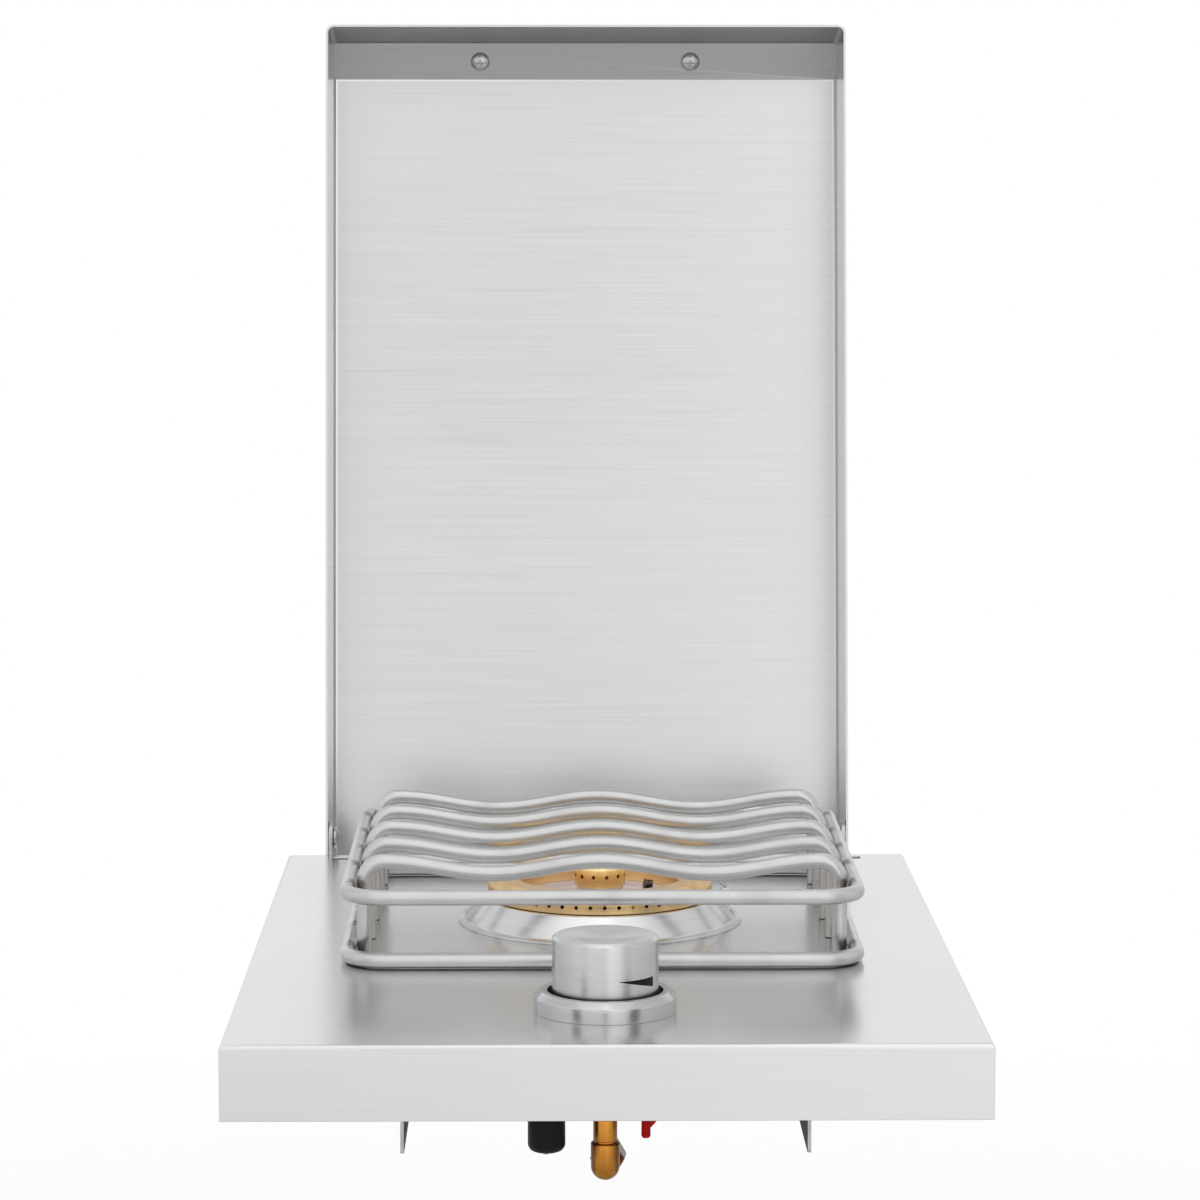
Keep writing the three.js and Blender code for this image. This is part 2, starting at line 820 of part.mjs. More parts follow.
function makeBurnerRing() {
  const shell = revolve([
    [ringOuterRadius - ringWall, ringBase],
    [ringOuterRadius, ringBase],
    [ringOuterRadius, ringTop - ringBevel],
    [ringOuterRadius - ringBevel, ringTop],
    [ringInnerRadius + ringBevel, ringTop],
    [ringInnerRadius, ringTop - ringBevel],
    [ringInnerRadius, ringBase],
    [ringInnerRadius + ringWall, ringBase],
    [ringInnerRadius + ringWall, ringTop - ringWall - ringBevel / 2],
    [ringOuterRadius - ringWall, ringTop - ringWall - ringBevel / 2],
    [ringOuterRadius - ringWall, ringBase],
  ], fineSides, 0, burnerFromFront);
  const ports = [];
  const half = ringPortSize / 2;
  const from = ringOuterRadius - ringWall - ringWall / 2;
  for (let i = 0; i < ringPortCount; i += 1) {
    const port = block(from, ringOuterRadius + ringWall, -half, half,
      ringBase + ringPortHeight - half, ringBase + ringPortHeight + half);
    const degrees = (i + 1 / 2) * 360 / ringPortCount;
    ports.push(port.rotate([0, 0, degrees]).translate([0, burnerFromFront, 0]));
  }
  const notch = notchBlock(ringBase - cutOverrun, ringBase + ringNotchHeight);
  place('burner_ring', cut(shell, ...ports, notch), 'brass');
}

function makeBurnerCap() {
  const base = capBase;
  const top = base + capHeight;
  const shoulder = top - capBevelHeight;
  const spigot = plateHubRadius - seatGap;
  const bore = spigot - capSpigotWall;
  const shell = revolve([
    [bore, base - capSpigotLength],
    [spigot, base - capSpigotLength],
    [spigot, base],
    [capRadius, base],
    [capRadius, shoulder],
    [capTopRadius, top],
    [0, top],
    [0, top - capWall],
    [bore, top - capWall],
    [bore, base - capSpigotLength],
  ], mediumSides, 0, burnerFromFront);
  const ports = [];
  const half = capPortSize / 2;
  for (let i = 0; i < capPortCount; i += 1) {
    const z = base + capPortHeight;
    const port = block(bore - half, capRadius + capWall, -half, half, z - half, z + half);
    const degrees = (i + 1 / 2) * 360 / capPortCount;
    ports.push(port.rotate([0, 0, degrees]).translate([0, burnerFromFront, 0]));
  }
  place('burner_cap', cut(shell, ...ports), 'brass');
}

function makeCollar() {
  const rim = collarOuterRadius - collarRimWidth;
  const sheet = collarSheet;
  const body = revolve([
    [collarOuterRadius, 0],
    [collarOuterRadius, sheet],
    [rim, sheet * 2],
    [collarInnerRadius + collarRimWidth, collarRise + sheet],
    [collarInnerRadius, collarRise + sheet],
    [collarInnerRadius, collarRise],
    [collarInnerRadius + collarRimWidth, collarRise],
    [rim, sheet],
    [rim + collarRimWidth / 2, 0],
    [collarOuterRadius, 0],
  ], fineSides, 0, burnerFromFront);
  const hole = drill(electrodeHoleRadius, -cutOverrun, collarRise * 2,
    electrodeOffset, burnerFromFront);
  place('drip_collar', cut(body, hole), 'polishedSteel');
}

function makeBurnerScrews() {
  burnerScrewPlaces().forEach((screw, i) => {
    const head = burnerScrewHeadRadius + burnerScrewRadius / 2;
    const top = potFlangeThickness + burnerScrewRadius;
    const body = revolve([
      [0, -cutOverrun - deckSheet],
      [burnerScrewRadius, -cutOverrun - deckSheet],
      [burnerScrewRadius, potFlangeThickness],
      [head, potFlangeThickness],
      [head, top - burnerScrewRadius / 2],
      [head / 2, top],
      [0, top],
    ], screwSides, screw.x, screw.y);
    place(`burner_screw_${i + 1}`, body, 'galvanised');
  });
}

function makeMixer() {
  const end = burnerFromFront - potNeckRadius / 2;
  const start = valveOutletEnd + jetHexLength + jetTipLength + seatGap * 2;
  const bellEnd = start + mixerBellLength;
  const throatEnd = bellEnd + mixerThroatLength;
  const w = mixerWall;
  const tube = revolveAlongY([
    [mixerBellRadius - w, start],
    [mixerBellRadius, start],
    [mixerBellRadius, start + mixerBellLength / 4],
    [mixerThroatRadius + w, bellEnd],
    [mixerThroatRadius + w, throatEnd - mixerThroatLength / 2],
    [mixerRearRadius, throatEnd],
    [mixerRearRadius, end],
    [mixerRearRadius - w, end],
    [mixerRearRadius - w, throatEnd],
    [mixerThroatRadius, throatEnd - mixerThroatLength / 2],
    [mixerThroatRadius, bellEnd],
    [mixerBellRadius - w, start + mixerBellLength / 4],
    [mixerBellRadius - w, start],
  ], smallSides, 0, mixerZ);
  place('mixing_tube', tube, 'galvanised');

  const inside = (mixerBellRadius + seatGap) / Math.cos(Math.PI / smallSides);
  const outer = inside + shutterWall;
  const front = start - seatGap - shutterWall;
  const cup = revolveAlongY([
    [jetTipRadius + slideGap * 2, front],
    [outer, front],
    [outer, front + shutterLength],
    [inside, front + shutterLength],
    [inside, front + shutterWall],
    [jetTipRadius + slideGap * 2, front + shutterWall],
    [jetTipRadius + slideGap * 2, front],
  ], smallSides, 0, mixerZ);
  const windows = [];
  const ringRadius = (outer + jetTipRadius) / 2;
  for (let i = 0; i < shutterHoleCount; i += 1) {
    const angle = Math.PI / 4 + fullTurn * i / shutterHoleCount;
    windows.push(drillAlongY(
      shutterHoleRadius,
      front - cutOverrun / 2,
      front + shutterWall + cutOverrun / 2,
      Math.cos(angle) * ringRadius,
      mixerZ + Math.sin(angle) * ringRadius,
    ));
  }
  place('air_shutter', cut(cup, ...windows), 'galvanised');
}

function makeJet() {
  const seat = valveOutletEnd;
  const hexEnd = seat + jetHexLength;
  const hex = hexAlongY(jetHexAcross, seat, hexEnd);
  const threadForm = barProfile(jetThreadRadius, seat - jetThreadLength, seat);
  const thread = revolveAlongY(threadForm, smallSides, 0, mixerZ);
  const tip = revolveAlongY([
    [0, hexEnd],
    [jetTipRadius, hexEnd],
    [jetTipRadius, hexEnd + jetTipLength * 2 / 3],
    [jetBoreRadius * 2, hexEnd + jetTipLength],
    [0, hexEnd + jetTipLength],
  ], smallSides, 0, mixerZ);
  const boreStart = seat - jetThreadLength - cutOverrun;
  const boreEnd = hexEnd + jetTipLength + cutOverrun;
  const bore = revolveAlongY(barProfile(jetBoreRadius, boreStart, boreEnd), wireSides, 0, mixerZ);
  place('gas_jet', cut(join(hex, thread, tip), bore), 'brass');
}

function hexAlongY(across, y0, y1) {
  return pushAlongY(hexOutline(across), y0, y1).translate([0, 0, mixerZ]);
}

// Knob, bezel and stem

function makeBezel() {
  const profile = [
    [stemCollarRadius + slideGap, 0],
    [bezelRadius, 0],
    [bezelRadius, bezelHeight - bezelBevelHeight],
    [bezelRadius - bezelBevelWidth, bezelHeight],
    [bezelRecessRadius, bezelHeight],
    [bezelRecessRadius, bezelFloor],
    [stemCollarRadius + slideGap, bezelFloor],
    [stemCollarRadius + slideGap, 0],
  ];
  place('knob_bezel', revolve(profile, fineSides, 0, knobFromFront), 'polishedSteel');
  const seal = ringProfile(
    coreHubRadius + slideGap, bezelRecessRadius - seatGap, bezelFloor, bezelFloor + sealThickness,
  );
  place('knob_seal', revolve(seal, mediumSides, 0, knobFromFront), 'blackRubber');
}

function makeKnob() {
  const crownUnderside = knobTopHeight - knobDish - knobCrown;
  const inside = knobRadius - knobWall;
  const shell = revolve([
    [knobRadius, knobSkirtHeight],
    [knobRadius, knobTopHeight - knobChamfer],
    [knobRadius - knobChamfer, knobTopHeight],
    [knobDishRadius, knobTopHeight],
    [knobDishRadius / 2, knobTopHeight - knobDish * 3 / 4],
    [0, knobTopHeight - knobDish],
    [0, crownUnderside],
    [inside, crownUnderside],
    [inside, knobSkirtHeight],
    [knobRadius, knobSkirtHeight],
  ], fineSides, 0, knobFromFront);
  place('knob_shell', shell, 'brushedSteel');

  const coreOuter = inside - seatGap;
  const coreTop = crownUnderside - seatGap;
  const coreFoot = knobSkirtHeight + seatGap;
  const web = coreTop - coreTopThickness;
  const cup = revolve([
    [0, coreTop],
    [coreOuter, coreTop],
    [coreOuter, coreFoot],
    [coreOuter - coreWall, coreFoot],
    [coreOuter - coreWall, web],
    [coreHubRadius, web],
    [coreHubRadius, coreFoot],
    [0, coreFoot],
  ], mediumSides, 0, knobFromFront);
  const ribs = [];
  for (let i = 0; i < coreRibCount; i += 1) {
    const rib = block(coreHubRadius - coreWall / 2, coreOuter - coreWall / 2,
      -coreRibThickness / 2, coreRibThickness / 2, coreFoot + coreWall, web + coreWall / 2);
    const degrees = (i + 1 / 2) * 360 / coreRibCount;
    ribs.push(rib.rotate([0, 0, degrees]).translate([0, knobFromFront, 0]));
  }
  const bore = stemForm(stemRadius + slideGap, stemTopHeight + slideGap, coreFoot - cutOverrun);
  place('knob_core', cut(join(cup, ...ribs), bore), 'blackPlastic');
}

// The round stem with the flat that keys it to the knob
function stemForm(radius, top, foot) {
  const rod = post(radius, foot, top, 0, knobFromFront);
  const flatFace = knobFromFront + radius - stemFlatDepth;
  const flat = block(
    -radius - cutOverrun, radius + cutOverrun,
    flatFace, knobFromFront + radius + cutOverrun,
    stemTopHeight - stemFlatLength, stemTopHeight + cutOverrun,
  );
  return rod.subtract(flat);
}

function makeStem() {
  const rod = stemForm(stemRadius, stemTopHeight, -stemFootDepth);
  const collarFoot = -stemCollarDepth - stemCollarThickness;
  const collar = post(stemCollarRadius, collarFoot, -stemCollarDepth, 0, knobFromFront);
  place('valve_stem', join(rod, collar), 'brass');

  const washerTop = collarFoot - seatGap;
  const washerFoot = washerTop - washerThickness;
  const washer = revolve(ringProfile(stemRadius + slideGap, stemCollarRadius, washerFoot, washerTop),
    smallSides, 0, knobFromFront);
  place('spring_washer', washer, 'galvanised');

  const springFoot = crossPlateTop + valveNeckRise + springWire / 2 + seatGap / 2;
  const springHead = washerFoot - springWire / 2 - seatGap / 2;
  const coil = helix(0, knobFromFront, springFoot, springHead, springRadius, springTurns);
  place('stem_spring', sweep(coil, springWire / 2, springSides), 'polishedSteel');
}

// Control bracket

function makeBracket() {
  const s = bracketSheet;
  const top = -deckSheet;
  const front = bracketFromFront;
  const outline = roundedOutline([
    [front, top, 0],
    [front, -bracketDrop, s],
    [front + bracketFootLength, -bracketDrop, s * 4],
    [front + bracketTopLength, top, 0],
  ]);
  const pieces = [block(-bracketHalfWidth, bracketHalfWidth, front, front + crossPlateLength,
    crossPlateUnderside, crossPlateTop)];
  for (const side of [-1, 1]) {
    const outer = side * bracketHalfWidth;
    const inner = side * (bracketHalfWidth - s);
    const flange = side * (bracketHalfWidth - bracketFlangeWidth);
    pieces.push(pushAlongX(outline, Math.min(outer, inner), Math.max(outer, inner)));
    pieces.push(block(Math.min(outer, flange), Math.max(outer, flange),
      front, front + bracketTopLength, top - s, top));
  }
  const through = [crossPlateUnderside - cutOverrun, crossPlateTop + cutOverrun];
  const cutters = [
    drill(valveNeckRadius + slideGap, ...through, 0, knobFromFront),
    drill(igniterRadius + seatGap, ...through, -igniterOffset, igniterFromFront, mediumSides),
  ];
  const screwY = knobFromFront + valveScrewSetBack();
  for (const side of [-1, 1]) {
    const x = side * valveScrewSpacing / 2;
    cutters.push(drill(valveScrewRadius + slideGap, ...through, x, screwY));
  }
  place('control_bracket', cut(join(...pieces), ...cutters), 'galvanised');
}

// The valve's screws stand behind the stem, clear of the igniter
function valveScrewSetBack() {
  return igniterFlangeRadius + valveScrewHeadRadius - (knobFromFront - igniterFromFront);
}

// Gas valve

function makeValve() {
  const y = knobFromFront;
  const flangeBack = y + valveScrewSetBack() + valveFlangeWidth / 2;
  const flangeFoot = crossPlateUnderside - valveFlangeThickness;
  const pieces = [
    post(valveRadius, -valveFootDepth, crossPlateUnderside, 0, y, mediumSides),
    post(valveNeckRadius, flangeFoot, crossPlateTop + valveNeckRise, 0, y),
    block(
      -valveFlangeLength / 2, valveFlangeLength / 2,
      flangeBack - valveFlangeWidth, flangeBack,
      flangeFoot, crossPlateUnderside,
    ),
    block(
      -valveRadius, valveRadius,
      y, flangeBack - valveFlangeWidth / 2,
      flangeFoot, crossPlateUnderside,
    ),
    revolveAlongY(barProfile(valveOutletRadius, y, valveOutletEnd), smallSides, 0, mixerZ),
    post(valveInletRadius, -valveFootDepth - valveInletLength, -valveFootDepth + cutOverrun, 0, y),
  ];
  const threadFoot = valveOutletEnd - jetThreadLength - seatGap;
  const stemHoleFoot = -stemFootDepth - knobTravel - slideGap;
  const cutters = [
    drill(stemRadius + slideGap, stemHoleFoot, crossPlateTop + cutOverrun, 0, y),
    drillAlongY(jetThreadRadius + seatGap, threadFoot, valveOutletEnd + cutOverrun, 0, mixerZ),
    drill(valveInletBore, -valveFootDepth - valveInletLength - cutOverrun, -valveFootDepth, 0, y),
  ];
  for (const side of [-1, 1]) {
    const x = side * valveScrewSpacing / 2;
    const holeFoot = flangeFoot - cutOverrun;
    cutters.push(drill(valveScrewRadius + seatGap,
      holeFoot, crossPlateUnderside + cutOverrun, x, y + valveScrewSetBack()));
  }
  place('gas_valve', cut(join(...pieces), ...cutters), 'brass');
}

function makeValveScrews() {
  [-1, 1].forEach((side, i) => {
    const x = side * valveScrewSpacing / 2;
    const y = knobFromFront + valveScrewSetBack();
    const foot = crossPlateUnderside - valveFlangeThickness - valveScrewRadius;
    const body = revolve([
      [0, foot],
      [valveScrewRadius, foot],
      [valveScrewRadius, crossPlateTop],
      [valveScrewHeadRadius, crossPlateTop],
      [valveScrewHeadRadius, crossPlateTop + valveScrewHeadHeight / 2],
      [valveScrewHeadRadius / 2, crossPlateTop + valveScrewHeadHeight],
      [0, crossPlateTop + valveScrewHeadHeight],
    ], screwSides, x, y);
    place(`valve_screw_${i + 1}`, body, 'galvanised');
  });
}

function makeElbow() {
  const top = -valveFootDepth - valveInletLength;
  const bodyTop = top - elbowNippleLength;
  const foot = bodyTop - elbowBodyLength;
  const branchZ = foot + elbowBodyRadius;
  const dome = [];
  for (let i = 0; i <= elbowFootSteps; i += 1) {
    const angle = quarterTurn * i / elbowFootSteps;
    const radius = Math.sin(angle) * elbowBodyRadius;
    dome.push([radius, branchZ - Math.cos(angle) * elbowBodyRadius]);
  }
  const down = revolve([
    ...dome,
    [elbowBodyRadius, bodyTop],
    [elbowNippleRadius, bodyTop],
    [elbowNippleRadius, top],
    [0, top],
  ], mediumSides);
  const branchForm = barProfile(elbowBranchRadius, 0, elbowBranchLength);
  const branch = revolveAlongY(branchForm, smallSides, 0, branchZ);
  const bores = [
    drill(elbowBore, branchZ, top + cutOverrun),
    drillAlongY(elbowBore, 0, elbowBranchLength + cutOverrun, 0, branchZ),
  ];
  const turned = new THREE.Group();
  turned.position.set(0, knobFromFront, 0);
  turned.rotation.z = -THREE.MathUtils.degToRad(elbowBranchTurn);
  unit.add(turned);
  place('inlet_elbow', cut(join(down, branch), ...bores), 'brass', turned);

  const nutEnd = elbowBranchLength + nutWall * 2;
  const nutStart = nutEnd - nutLength - cutOverrun;
  const hex = pushAlongY(hexOutline(nutAcross), nutEnd - nutLength, nutEnd)
    .translate([0, 0, branchZ]);
  const bore = drillAlongY(elbowBranchRadius + slideGap, nutStart, nutEnd - nutWall, 0, branchZ);
  const mouthStart = nutEnd - nutWall - cutOverrun;
  const mouthRadius = elbowBranchRadius - nutWall / 2;
  const mouth = drillAlongY(mouthRadius, mouthStart, nutEnd + cutOverrun, 0, branchZ);
  place('flare_nut', cut(hex, bore, mouth), 'brass', turned);
}

// Igniter

function makeIgniter() {
  const x = -igniterOffset;
  const y = igniterFromFront;
  const top = -igniterTopDepth;
  const foot = top - igniterBodyLength;
  const housing = revolve([
    [0, top],
    [igniterRadius - igniterHead / 2, top],
    [igniterRadius, top - igniterHead / 2],
    [igniterRadius, crossPlateTop + igniterFlangeThickness],
    [igniterFlangeRadius, crossPlateTop + igniterFlangeThickness],
    [igniterFlangeRadius, crossPlateTop],
    [igniterRadius, crossPlateTop],
    [igniterRadius, foot],
    [igniterBore, foot],
    [igniterBore, top - igniterHead],
    [0, top - igniterHead],
  ], mediumSides, x, y);
  const socketForm = barProfile(leadRadius * 2, y + igniterRadius - leadRadius, leadSocketEnd());
  const leadSocket = revolveAlongY(socketForm, smallSides, x, sparkLeadZ());
  const socketEnd = leadSocketEnd() + cutOverrun;
  const socketBore = drillAlongY(leadRadius + seatGap, y + igniterRadius, socketEnd, x, sparkLeadZ());
  place('igniter_housing', cut(join(housing, leadSocket), socketBore), 'blackPlastic');

  const capTop = foot - seatGap;
  const capFoot = capTop - igniterCapLength;
  const spigot = igniterBore - seatGap;
  const cupFloor = capFoot + igniterHead;
  const nubRadius = igniterRadius * igniterNubShare;
  const cap = revolve([
    [0, capFoot],
    [nubRadius, capFoot],
    [nubRadius, capFoot + igniterNubHeight],
    [igniterRadius - igniterHead / 3, capFoot + igniterNubHeight + igniterHead / 3],
    [igniterRadius, capFoot + igniterNubHeight + igniterHead],
    [igniterRadius, capTop],
    [spigot, capTop],
    [spigot, cupFloor],
    [0, cupFloor],
  ], mediumSides, x, y);
  place('igniter_cap', cap, 'blackPlastic');

  const batteryTop = top - igniterHead - batteryNubLength - seatGap;
  const batteryFoot = batteryTop - batteryLength;
  const battery = revolve([
    [0, batteryFoot],
    [batteryRadius, batteryFoot],
    [batteryRadius, batteryTop],
    [batteryNubRadius, batteryTop],
    [batteryNubRadius, batteryTop + batteryNubLength],
    [0, batteryTop + batteryNubLength],
  ], smallSides, x, y);
  place('battery', battery, 'battery');

  const coil = helix(x, y, cupFloor + contactSpringWire / 2 + seatGap / 2,
    batteryFoot - contactSpringWire / 2 - seatGap / 2, batteryRadius / 2, contactSpringTurns);
  place('battery_spring', sweep(coil, contactSpringWire / 2, springSides), 'polishedSteel');
}

// Leads

function leadSocketEnd() {
  return igniterFromFront + igniterRadius + leadRadius * 4;
}

function sparkLeadZ() {
  return -(igniterTopDepth + crossPlateDepth) / 2;
}

function makeLeads() {
  const z = sparkLeadZ();
  const start = igniterFromFront + igniterRadius + seatGap;
  const clipFoot = -ceramicFootDepth;
  const sparkRoute = [
    vec(-igniterOffset, start, z),
    vec(-igniterOffset, start + 20, z),
    vec(-22, 125, z - 1),
    vec(6, 152, z - 2),
    vec(40, 180, z - 1),
    vec(58, 215, z - 4),
    vec(electrodeOffset, 240, z - 14),
    vec(electrodeOffset, 256, z - 19),
    vec(electrodeOffset, 265, z - 16),
    vec(electrodeOffset, burnerFromFront, z - 8),
    vec(electrodeOffset, burnerFromFront, clipFoot - seatGap),
  ];
  place('spark_lead', sweep(leadStations(sparkRoute), leadRadius, wireSides), 'blackRubber');

  const bootFoot = switchFoot() - bootLength;
  const switchY = igniterFromFront;
  const nozzleFoot = bootNozzlePoint(bootRadius + seatGap * 2);
  const nozzleAhead = bootNozzlePoint(bootNozzleLength + seatGap);
  const triggerRoute = [
    vec(nozzleFoot.x, switchY, nozzleFoot.z),
    vec(nozzleAhead.x, switchY, nozzleAhead.z),
    vec(switchOffset + 8, switchY + 2, bootFoot + 12.5),
    vec(switchOffset + 10, switchY + 12, bootFoot + 18),
    vec(switchOffset + 7, switchY + 28, bootFoot + 22),
    vec(4, switchY + 34, crossPlateUnderside - 6),
    vec(-18, switchY + 30, crossPlateUnderside - 5),
    vec(-igniterOffset, switchY + 16, crossPlateUnderside - 6),
    vec(-igniterOffset, switchY + igniterRadius + seatGap, crossPlateUnderside - 6),
  ];
  place('trigger_lead', sweep(leadStations(triggerRoute), leadRadius, wireSides), 'blackRubber');
}

function switchFoot() {
  return crossPlateUnderside - switchHeight;
}

// A point on the boot's side outlet, this far from the boot's own axis
function bootNozzlePoint(distance) {
  const tilt = THREE.MathUtils.degToRad(bootNozzleTilt);
  return {
    x: switchOffset + Math.sin(tilt) * distance,
    z: switchFoot() - bootLength + bootNozzleRise + Math.cos(tilt) * distance,
  };
}

function makeSwitch() {
  const x = switchOffset;
  const y = igniterFromFront;
  const foot = switchFoot();
  const housing = block(
    x - switchWidth / 2, x + switchWidth / 2,
    y - switchLength / 2, y + switchLength / 2,
    foot, crossPlateUnderside,
  );
  const tab = block(
    x - terminalWidth / 2, x + terminalWidth / 2,
    y - terminalWidth / 4, y + terminalWidth / 4,
    foot - terminalLength, foot + terminalLength / 2,
  );
  place('trigger_switch', join(housing, tab), 'blackPlastic');

  const top = foot - seatGap;
  const end = foot - bootLength;
  const sleeve = revolve([
    [0, end],
    [bootTipRadius, end],
    [bootRadius, end + bootRadius / 2],
    [bootRadius, top],
    [0, top],
  ], smallSides, x, y);
  const nozzleBase = bootNozzlePoint(0);
  const aim = (solid) => solid.rotate([0, bootNozzleTilt, 0])
    .translate([nozzleBase.x, y, nozzleBase.z]);
  const nozzle = aim(post(bootNozzleRadius, 0, bootNozzleLength));
  const leadBore = aim(drill(leadRadius + seatGap, bootRadius, bootNozzleLength + cutOverrun));
  const slot = block(
    x - terminalWidth / 2 - seatGap, x + terminalWidth / 2 + seatGap,
    y - terminalWidth / 4 - seatGap, y + terminalWidth / 4 + seatGap,
    foot - terminalLength - seatGap, top + cutOverrun,
  );
  place('terminal_boot', cut(join(sleeve, nozzle), leadBore, slot), 'redSleeve');
}

// Electrode

function makeElectrode() {
  const x = electrodeOffset;
  const y = burnerFromFront;
  const shoulderTop = -deckSheet - clipThickness;
  const body = revolve([
    [0, -ceramicFootDepth],
    [ceramicRadius, -ceramicFootDepth],
    [ceramicRadius, shoulderTop - ceramicShoulderHeight],
    [ceramicShoulderRadius, shoulderTop - ceramicShoulderHeight],
    [ceramicShoulderRadius, shoulderTop],
    [ceramicRadius, shoulderTop],
    [ceramicRadius, ceramicTopHeight],
    [0, ceramicTopHeight],
  ], smallSides, x, y);
  const bore = drill(tipWireRadius + slideGap / 2,
    ceramicTopHeight - tipFoot, ceramicTopHeight + cutOverrun, x, y, wireSides);
  place('electrode_ceramic', cut(body, bore), 'ceramic');

  const bend = tipRise / 2;
  const wire = [
    vec(x, y, ceramicTopHeight - tipFoot + slideGap / 2),
    vec(x, y, ceramicTopHeight + bend / 2),
    vec(x - tipReach / 4, y, ceramicTopHeight + bend),
    vec(x - tipReach, y, ceramicTopHeight + tipRise),
  ];
  place('electrode_tip', sweep(wire, tipWireRadius, wireSides), 'polishedSteel');

  const clipFoot = -deckSheet - clipThickness;
  const clip = block(
    x - clipWidth / 2, x - clipWidth / 2 + clipLength,
    y - clipWidth / 2, y + clipWidth / 2,
    clipFoot, -deckSheet,
  );
  const hole = drill(ceramicRadius + seatGap, clipFoot - cutOverrun, cutOverrun, x, y);
  place('electrode_clip', cut(clip, hole), 'galvanised');
}

// Hinges

function hingeSides() {
  const inner = lidHalf - lidSheet - slideGap;
  return [
    { name: 'left', side: -1, earOuter: lidSideShift - inner },
    { name: 'right', side: 1, earOuter: lidSideShift + inner },
  ];
}

function hingeScrewPlaces() {
  const places = [];
  for (const { side, earOuter } of hingeSides()) {
    const middle = earOuter - side * hingeBaseWidth * 2 / 3;
    const z = -(hingeBaseTopDepth + earFootDepth) / 2;
    places.push({ x: middle, z });
  }
  return places;
}

function makeHinges() {
  const back = deckDepth;
  hingeSides().forEach(({ name, side, earOuter }, i) => {
    const earInner = earOuter - side * earThickness;
    const baseEnd = earOuter - side * hingeBaseWidth;
    const outline = new THREE.Shape();
    outline.moveTo(back, -earFootDepth);
    outline.lineTo(back + earThickness, -earFootDepth);
    outline.lineTo(pinY + earRadius, pinHeight - earRadius);
    outline.absarc(pinY, pinHeight, earRadius, 0, Math.PI, false);
    outline.lineTo(back, -hingeBaseTopDepth);
    outline.closePath();
    const ear = pushAlongX(new THREE.Shape(outline.getPoints(arcSteps * 2)),
      Math.min(earOuter, earInner), Math.max(earOuter, earInner));
    const base = block(Math.min(earOuter, baseEnd), Math.max(earOuter, baseEnd),
      back, back + earThickness, -earFootDepth, -hingeBaseTopDepth);
    const screw = hingeScrewPlaces()[i];
    const holes = [
      drillAlongX(pinRadius + seatGap,
        earOuter - cutOverrun, earOuter + cutOverrun, pinY, pinHeight),
      drillAlongY(hingeScrewRadius + slideGap,
        back - cutOverrun, back + cutOverrun, screw.x, screw.z),
    ];
    place(`hinge_bracket_${name}`, cut(join(ear, base), ...holes), 'galvanised');

    const lidFace = lidSideShift + side * lidHalf;
    const headSeat = earInner - side * seatGap;
    const headEnd = headSeat - side * pinHeadThickness;
    const tip = lidFace - side * seatGap;
    const pin = revolveAlongX([
      [0, headEnd],
      [pinHeadRadius / 2, headEnd],
      [pinHeadRadius, headSeat - side * pinHeadThickness / 2],
      [pinHeadRadius, headSeat],
      [pinRadius, headSeat],
      [pinRadius, tip],
      [0, tip],
    ], smallSides, pinY, pinHeight);
    place(`hinge_pin_${name}`, pin, 'polishedSteel');

    const fixing = revolveAlongY([
      [0, back - hingeScrewLength + earThickness],
      [hingeScrewRadius, back - hingeScrewLength + earThickness],
      [hingeScrewRadius, back + earThickness],
      [hingeScrewHeadRadius, back + earThickness],
      [hingeScrewHeadRadius, back + earThickness + hingeScrewHeadHeight / 2],
      [hingeScrewHeadRadius / 2, back + earThickness + hingeScrewHeadHeight],
      [0, back + earThickness + hingeScrewHeadHeight],
    ], screwSides, screw.x, screw.z);
    place(`hinge_screw_${name}`, fixing, 'galvanised');

    const padMiddle = lidFace - side * (lidSheet - stopPadWidth / 2);
    const pad = block(padMiddle - stopPadWidth / 2, padMiddle + stopPadWidth / 2,
      back, back + stopPadThickness, -stopPadTopDepth - stopPadHeight, -stopPadTopDepth);
    place(`lid_stop_${name}`, pad, 'blackRubber');
  });
}

// Lid and handle, in a group that turns about the hinge pin

function lidSolid(inset) {
  const front = -lidReach + inset;
  const rear = lidTail - inset;
  const edge = inset ? -lidEdgeBelowPin - cutOverrun : -lidEdgeBelowPin;
  const panel = -lidEdgeBelowPin + lidPanelHeight - inset;
  const brow = -lidEdgeBelowPin + lidFrontHeight - inset;
  const bevelEnd = -lidReach + lidBevelReach;
  const half = lidHalf - inset;
  const fold = Math.max(lidFoldRadius - inset, lidSheet / 2);
  const corner = Math.max(lidCornerRadius - inset, lidSheet / 2);
  const profile = roundedOutline([
    [rear, edge, 0], [rear, panel, fold], [bevelEnd, panel, fold],
    [front, brow, fold], [front, edge, 0],
  ]);
  const section = roundedOutline([
    [-half, edge, 0], [half, edge, 0], [half, panel, fold], [-half, panel, fold],
  ]);
  const plan = roundedOutline([
    [-half, front, corner], [half, front, corner], [half, rear, corner], [-half, rear, corner],
  ]);
  return pushAlongX(profile, -half, half)
    .intersect(pushAlongY(section, front, rear))
    .intersect(pushAlongZ(plan, edge, panel));
}

